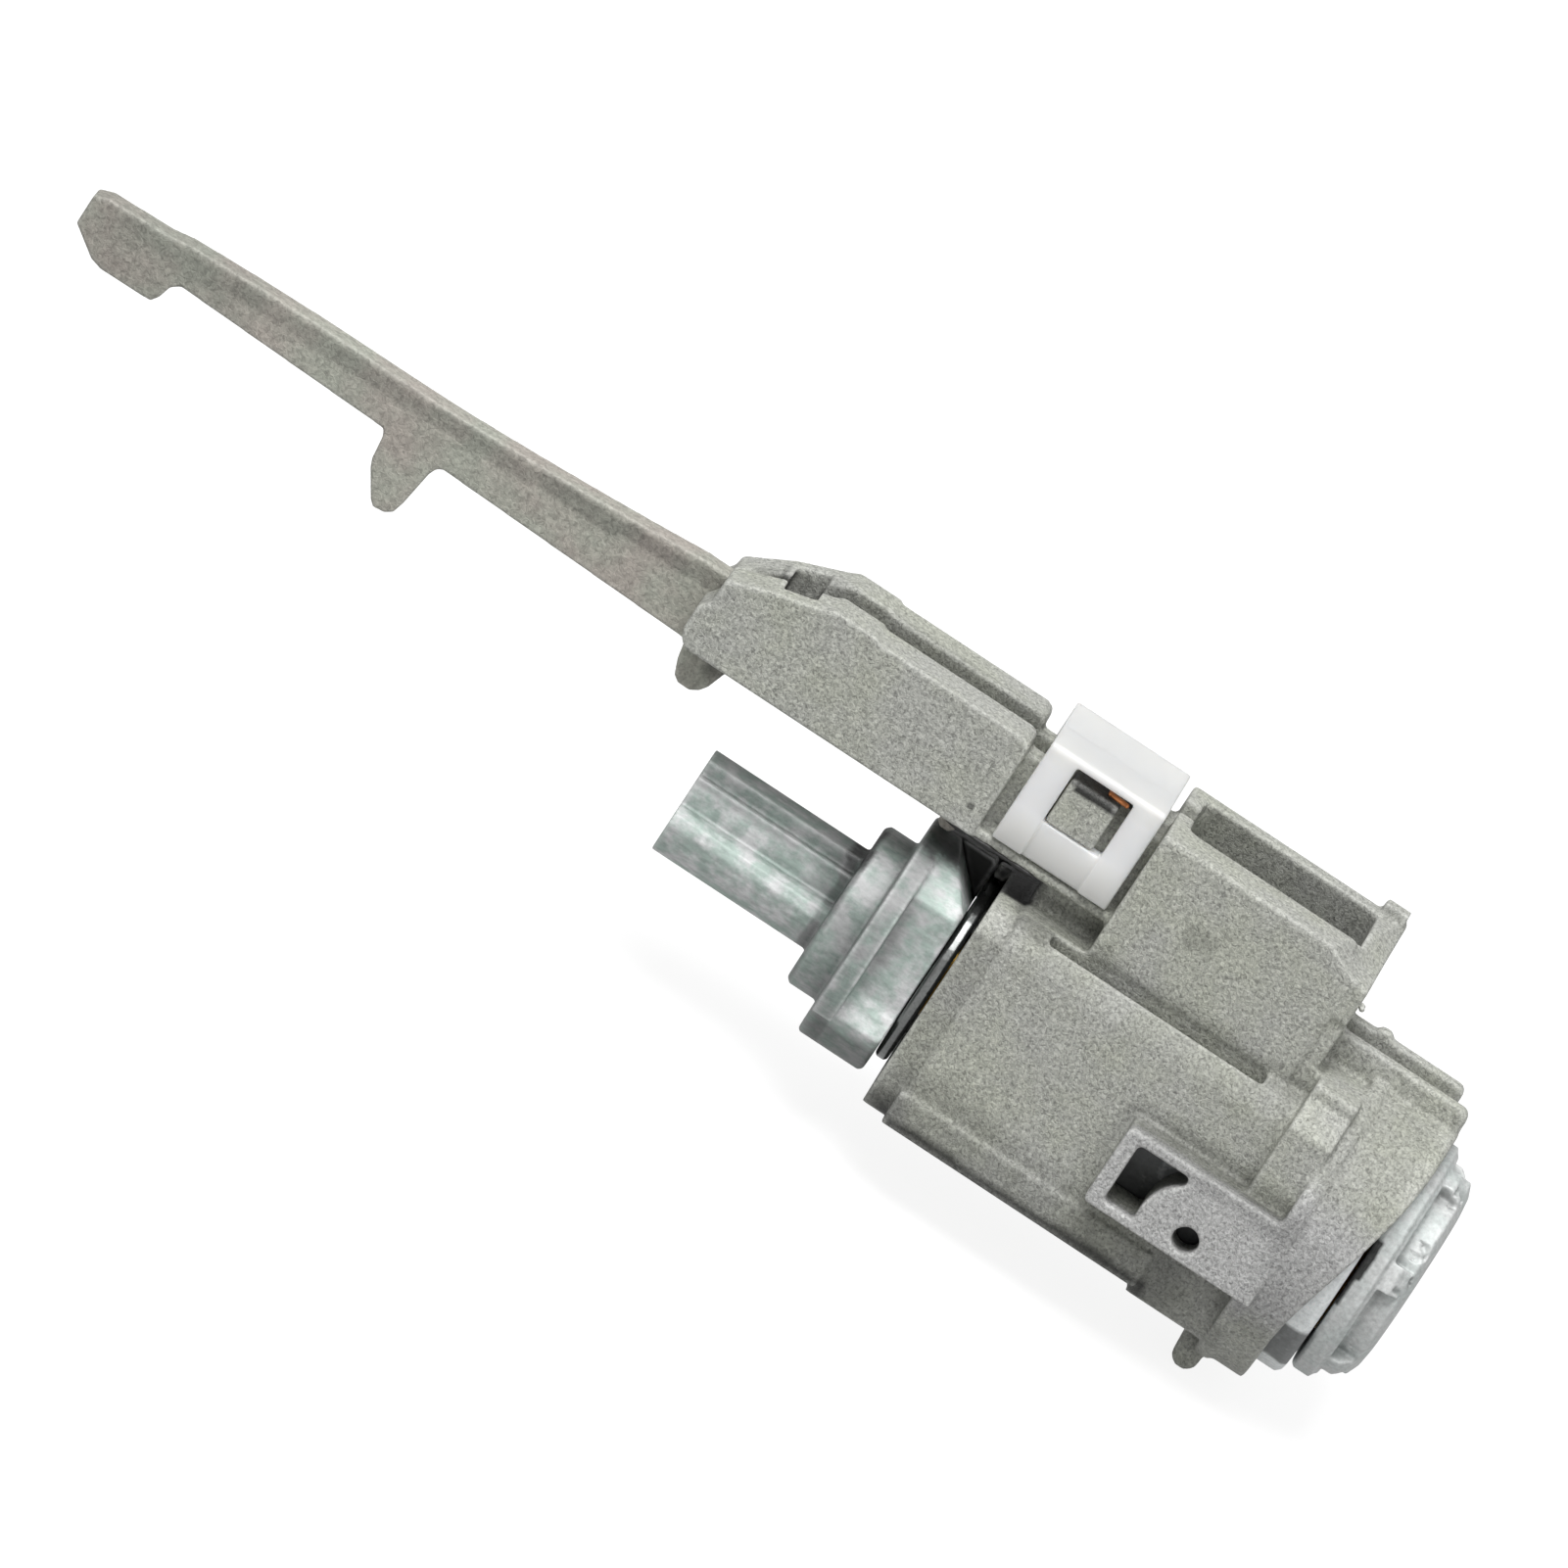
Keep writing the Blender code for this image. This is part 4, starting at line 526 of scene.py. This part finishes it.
def shown(node, look):
    """Gives a solid that keeps its own mesh its real material."""
    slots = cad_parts[node].material_slots
    for entry in slots:
        entry.material = look


def pressed_coil(piece, node, body, look):
    """A copy of a coil, welded and smoothly shaded, with its material, on its body."""
    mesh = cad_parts[node].data.copy()
    mesh.name = piece
    wire = bmesh.new()
    wire.from_mesh(mesh)
    bmesh.ops.remove_doubles(wire, verts=wire.verts, dist=WELD * MM)
    wire.to_mesh(mesh)
    wire.free()
    mesh.materials.clear()
    mesh.materials.append(look)
    mesh.polygons.foreach_set("use_smooth", [True] * len(mesh.polygons))
    made = bpy.data.objects.new(piece, mesh)
    bpy.context.scene.collection.objects.link(made)
    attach(made, body)
    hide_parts(node)
    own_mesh(made)


for node in ("return_spring", "shutter_spring"):
    shown(node, steel_look)
shown("release_pin", black_look)
pressed_coil("bronze_coil", "lever_spring", "housing", bronze_look)
pressed_coil("release_coil", "release_spring", "housing", steel_look)
leg_mesh = bpy.data.meshes.new("bronze_leg")
leg = bmesh.new()
for start, end in zip(LEG_PATH[:-1], LEG_PATH[1:]):
    span = (Vector(end) - Vector(start)) * MM
    middle = (Vector(end) + Vector(start)) * MM / 2.0
    aim = span.to_track_quat("Z", "Y").to_matrix().to_4x4()
    bmesh.ops.create_cone(leg, cap_ends=True, segments=LEG_SIDES, radius1=LEG_R * MM,
                          radius2=LEG_R * MM, depth=span.length,
                          matrix=Matrix.Translation(middle) @ aim)
for bend in LEG_PATH[1:]:
    bmesh.ops.create_uvsphere(leg, u_segments=LEG_SIDES, v_segments=LEG_RINGS,
                              radius=LEG_R * MM,
                              matrix=Matrix.Translation(Vector(bend) * MM))
leg.to_mesh(leg_mesh)
leg.free()
leg_mesh.materials.append(bronze_look)
leg_mesh.polygons.foreach_set("use_smooth", [True] * len(leg_mesh.polygons))
coil_leg = bpy.data.objects.new("bronze_leg", leg_mesh)
bpy.context.scene.collection.objects.link(coil_leg)
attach(coil_leg, "housing")
softened("pressed_washer", "thrust_washer", "housing", oily_look,
         WASHER_VOXEL, STRIP_PASSES, WASHER_FACES)
softened("spring_ring", "retaining_ring", "plug", steel_look, RING_VOXEL,
         STRIP_PASSES, RING_FACES)


# Cylinder sleeve, front cap and rear rotor. Bright zinc castings, tumbled smooth, with
# a cool tint; the cap's lugs and the rotor's tail are rubbed and scratched in use. The
# sleeve is held in the barrel, the cap sits on the plug's head, the rotor on its tail.
CAP_GREY = "D0D2D1"
CAP_COOL = "C7CDCB"
# Colour of the edges painted lighter as highlight and wear
CAP_EDGE_LIGHT = "F2F3F2"
# Painted shade in the gap between the collar and the cap
CAP_GAP_SHADE = [
    ((50.0, -20.0, 2.0), (52.0, 20.0, 6.0), 1.0, 0.4),
    ((50.0, -20.0, -1.5), (51.5, 20.0, 2.0), 1.0, 0.4),
    ((50.0, -20.0, -4.5), (51.0, 20.0, -1.5), 0.95, 0.4),
    ((50.0, -20.0, -20.0), (50.6, 20.0, -4.5), 0.9, 0.4),
]
# Chips start past this X and this radius, have this size and depth, and spare the
# places where the noise is low
CHIP_FROM = 55.6
CHIP_RADIUS = 11.4
CHIP_SIZE = 1.3
CHIP_DEPTH = 0.9
CHIP_SPARE = 0.15
SLEEVE_GREY = "F6FAFA"
# Painted shade on the sleeve inside the barrel and on its low side
SLEEVE_SHADE = [
    ((-1.0, -16.0, -16.0), (43.4, 16.0, 16.0), 0.88, 1.0),
    ((43.0, -16.0, -11.4), (54.0, 2.0, -6.6), 0.78, 0.6),
]
ROTOR_GREY = "D6D7D7"
ROTOR_COOL = "AEBDB6"
# Colour of the edges painted lighter as highlight and wear
ROTOR_EDGE_LIGHT = "EAECEB"
# Painted shade under the guide, on the cam's far wall and low facets and on the tail's
# upper side, with grease and dark marks at the collar
ROTOR_SHADE_GREASE = [
    ((-7.2, 0.8, 8.0), (-1.0, 20.0, 16.0), 1.0, 0.5),
    ((-9.8, -16.0, 12.4), (-1.0, 20.0, 16.0), 0.75, 1.0),
    ((-8.0, -16.0, -16.0), (-1.0, 20.0, -8.4), 0.55, 1.5),
    ((-32.5, -3.0, 4.2), (-14.0, 8.0, 8.0), 0.32, 1.0),
    ((-14.6, -6.0, 6.2), (-13.3, 2.0, 10.0), 0.95, 0.8),
    ((-14.5, -12.0, 3.0), (-7.5, 12.0, 11.0), 0.27, 4.0),
    ((-14.2, -12.0, -12.0), (-13.2, 12.0, 12.0), 0.4, 0.5),
    ((-9.4, -16.0, -16.0), (-7.5, -2.0, 12.0), 0.35, 0.4),
    ((-13.0, -12.0, -12.0), (-9.6, 12.0, 3.0), 0.15, 1.0),
]
# Colour of the painted shade and grime in corners and pockets
BRIGHT_CORNER_SHADE_GRIME = "262C2B"
BRIGHT_ROUGH = 0.5
RUBBED_ROUGH = 0.56
BRIGHT_METAL = 0.2
BRIGHT_RELIEF = 0.08
BRIGHT_SHADE_GRIME_WIDE = (7.0, 0.45)
BRIGHT_SHADE_GRIME_NEAR = (1.6, 0.6)
BRIGHT_EDGE_WEAR_LIGHT = (0.6, 0.8)
# Size of the oil's mottles, and of the scratches, which are drawn coarser than they are
MOTTLE = 4.0
TAIL_MOTTLE = 2.2
SCRATCH = 0.6
LENGTHWISE = (0.4, 1.0, 1.0)
SLEEVE_VOXEL = 0.24
SLEEVE_FACES = 90000
ROTOR_VOXEL = 0.18
ROTOR_PASSES = 4
ROTOR_FACES = 120000
CAP_VOXEL = 0.16
CAP_FACES = 120000
BRIGHT_PASSES = 3


def bright_zinc(name, face, cool, edge_light, mottle, along, rough, shade_grease_patches):
    """Tumbled zinc: shiny, cool grey, mottled by oil, with fine lines along one axis."""
    look, tree, out, place = new_material(name)
    blotch = add(tree, "TexNoise", [("Vector", place), ("Scale", per_mm(mottle)),
                                    ("Detail", 4.0), ("Roughness", 0.6)])
    film = add(tree, "MapRange", [("Value", blotch.outputs[0]), (1, 0.4), (2, 0.6)])
    body = add(tree, "Mix", [(0, film.outputs[0]), (6, srgb(face)), (7, srgb(cool))],
               data_type="RGBA")
    stretch = add(tree, "Mapping", [("Vector", place), ("Scale", along)])
    lines = add(tree, "TexNoise", [("Vector", stretch.outputs[0]),
                                   ("Scale", per_mm(SCRATCH)), ("Detail", 5.0),
                                   ("Roughness", 0.65)])
    tone = add(tree, "MapRange", [("Value", lines.outputs[0]), (1, 0.3), (2, 0.7),
                                  (3, 0.74), (4, 1.22)])
    scratched = add(tree, "Mix", [(0, 1.0), (6, body.outputs[2]), (7, tone.outputs[0])],
                    data_type="RGBA", blend_type="MULTIPLY")
    # Painted shade and grime in corners and deep pockets, from occlusion
    deep_shade_grime = corner_shade_and_grime(tree, scratched.outputs[2], BRIGHT_CORNER_SHADE_GRIME, *BRIGHT_SHADE_GRIME_WIDE)
    near_shade_grime = corner_shade_and_grime(tree, deep_shade_grime, BRIGHT_CORNER_SHADE_GRIME, *BRIGHT_SHADE_GRIME_NEAR)
    # Painted shade and old grease in fixed patches
    with_shade_grease = paint_shade_and_grease(tree, place, near_shade_grime, blotch.outputs[0], shade_grease_patches)
    # Outward edges painted lighter, as highlight and as wear
    bright = edge_wear_and_highlight(tree, with_shade_grease, edge_light, lines.outputs[0], *BRIGHT_EDGE_WEAR_LIGHT)
    gloss = add(tree, "MapRange", [("Value", lines.outputs[0]), (1, 0.3), (2, 0.7),
                                   (3, rough - 0.06), (4, rough + 0.12)])
    relief = add(tree, "Bump", [("Height", lines.outputs[0]), ("Strength", 0.35),
                                ("Distance", BRIGHT_RELIEF * MM)])
    skin = add(tree, "BsdfPrincipled", [("Base Color", bright),
                                        ("Roughness", gloss.outputs[0]),
                                        ("Metallic", BRIGHT_METAL),
                                        ("Normal", relief.outputs[0])])
    tree.links.new(skin.outputs[0], out.inputs[0])
    return look


bright_look = bright_zinc("tumbled_zinc", CAP_GREY, CAP_COOL, CAP_EDGE_LIGHT, MOTTLE, EVEN,
                          BRIGHT_ROUGH, CAP_GAP_SHADE)
sleeve_look = bright_zinc("pale_zinc", SLEEVE_GREY, SLEEVE_GREY, CAP_EDGE_LIGHT, MOTTLE, EVEN,
                          BRIGHT_ROUGH, SLEEVE_SHADE)
tail_look = bright_zinc("rubbed_zinc", ROTOR_GREY, ROTOR_COOL, ROTOR_EDGE_LIGHT, TAIL_MOTTLE,
                        LENGTHWISE, RUBBED_ROUGH, ROTOR_SHADE_GREASE)
softened("sleeve_casting", "cylinder_sleeve", "housing", sleeve_look,
         SLEEVE_VOXEL, BRIGHT_PASSES, SLEEVE_FACES)
softened("rotor_casting", "rear_rotor", "plug", tail_look, ROTOR_VOXEL,
         ROTOR_PASSES, ROTOR_FACES)
cap = softened("cap_casting", "lock_cap", "plug", bright_look, CAP_VOXEL,
               BRIGHT_PASSES, CAP_FACES)
# Chips in the outer edges of the lugs
for corner in cap.data.vertices:
    place = corner.co / MM
    rim = math.hypot(place.y, place.z)
    if place.x > CHIP_FROM and rim > CHIP_RADIUS:
        bite = noise.noise(place / CHIP_SIZE) - CHIP_SPARE
        if bite > 0.0:
            corner.co.y -= CHIP_DEPTH * bite * place.y / rim * MM
            corner.co.z -= CHIP_DEPTH * bite * place.z / rim * MM
            corner.co.x -= CHIP_DEPTH * bite * MM


# Key plug, wafers and dust shutter. The plug is turned brass with stamped brass wafers
# that slide in its slots on small springs; the shutter is a steel door on a pin.
BRASS = "C9A257"
WAFERS = 7
BRASS_ROUGH = 0.34
PLUG_VOXEL = 0.18
PLUG_FACES = 90000

brass_look = drawn_metal("machined_brass", BRASS, BRASS_ROUGH, EVEN)
softened("brass_plug", "key_plug", "plug", brass_look, PLUG_VOXEL, STRIP_PASSES,
         PLUG_FACES)
for number in range(1, WAFERS + 1):
    shown("wafer_%d" % number, brass_look)
    pressed_coil("wafer_coil_%d" % number, "wafer_spring_%d" % number, "plug",
                 steel_look)
for node in ("dust_shutter", "shutter_pin"):
    shown(node, steel_look)


# Floor and light. A pale sweep under a large soft box above and in front, with a weak
# fill, at the level where a colour comes out about as it is written.
FLOOR = "8E8E8E"
FLOOR_GLOW = 0.87
FLOOR_BOUNCE = 0.07
FLOOR_SIZE = 12.0
FLOOR_DROP = 0.2 * MM
WORLD_SEEN = 1.0
WORLD_LIGHT = 0.35
# Share of the floor's and the world's brightness that reflections see
MIRRORED = 0.6
# Each lamp: direction from the part, distance and side in metres, power in watts
KEY_LIGHT = ((-0.1, -0.45, 1.0), 1.0, 0.6, 10.0)
FILL_LIGHT = ((0.4, -1.0, 0.1), 1.4, 0.8, 3.1)

floor_mesh = bpy.data.meshes.new("floor")
flat = bmesh.new()
floor_height = cad_box[0][2] - FLOOR_DROP
bmesh.ops.create_grid(flat, x_segments=1, y_segments=1, size=FLOOR_SIZE / 2.0,
                      matrix=Matrix.Translation((0.0, 0.0, floor_height)))
flat.to_mesh(floor_mesh)
flat.free()
floor = bpy.data.objects.new("floor", floor_mesh)
bpy.context.scene.collection.objects.link(floor)


def seen_level(tree, seen, mirrored, lit):
    """A strength for the eye and clear bodies, one for reflections, one for light."""
    rays = add(tree, "LightPath").outputs
    direct = add(tree, "Math", [(0, rays["Is Camera Ray"]),
                                (1, rays["Is Transmission Ray"])], operation="MAXIMUM")
    sheen = add(tree, "MapRange", [("Value", rays["Is Glossy Ray"]), (3, lit),
                                   (4, mirrored)])
    rest = add(tree, "Math", [(0, 1.0), (1, direct.outputs[0])], operation="SUBTRACT")
    other = add(tree, "Math", [(0, sheen.outputs[0]), (1, rest.outputs[0])],
                operation="MULTIPLY")
    return add(tree, "Math", [(0, direct.outputs[0]), (1, seen), (2, other.outputs[0])],
               operation="MULTIPLY_ADD").outputs[0]


# Matt painted paper: even and pale, with no shine of its own
floor_look, floor_tree, floor_out, _ = new_material("pale_floor")
paint = add(floor_tree, "BsdfDiffuse", [("Color", srgb(FLOOR))])
level = seen_level(floor_tree, FLOOR_GLOW, MIRRORED * FLOOR_GLOW, FLOOR_BOUNCE)
glow = add(floor_tree, "Emission", [("Color", srgb("FFFFFF")), ("Strength", level)])
both = add(floor_tree, "AddShader", [(0, paint.outputs[0]), (1, glow.outputs[0])])
floor_tree.links.new(both.outputs[0], floor_out.inputs[0])
floor_mesh.materials.append(floor_look)

world = bpy.data.worlds.new("studio")
world.use_nodes = True
world.node_tree.nodes.clear()
bpy.context.scene.world = world
level = seen_level(world.node_tree, WORLD_SEEN, MIRRORED, WORLD_LIGHT)
sky = add(world.node_tree, "Background", [("Color", srgb("FFFFFF")), ("Strength", level)])
add(world.node_tree, "OutputWorld", [("Surface", sky.outputs[0])])


def soft_box(name, direction, distance, size, power):
    """A square area lamp that faces the part."""
    lamp = bpy.data.lights.new(name, "AREA")
    lamp.shape = "SQUARE"
    lamp.size = size
    lamp.energy = power
    holder = bpy.data.objects.new(name, lamp)
    towards = Vector(direction).normalized()
    spin = towards.to_track_quat("Z", "Y").to_matrix().to_4x4()
    holder.matrix_world = Matrix.Translation(VIEW_CENTRE + distance * towards) @ spin
    bpy.context.scene.collection.objects.link(holder)


soft_box("key_light", *KEY_LIGHT)
soft_box("fill_light", *FILL_LIGHT)

bpy.context.scene.view_settings.view_transform = "Standard"
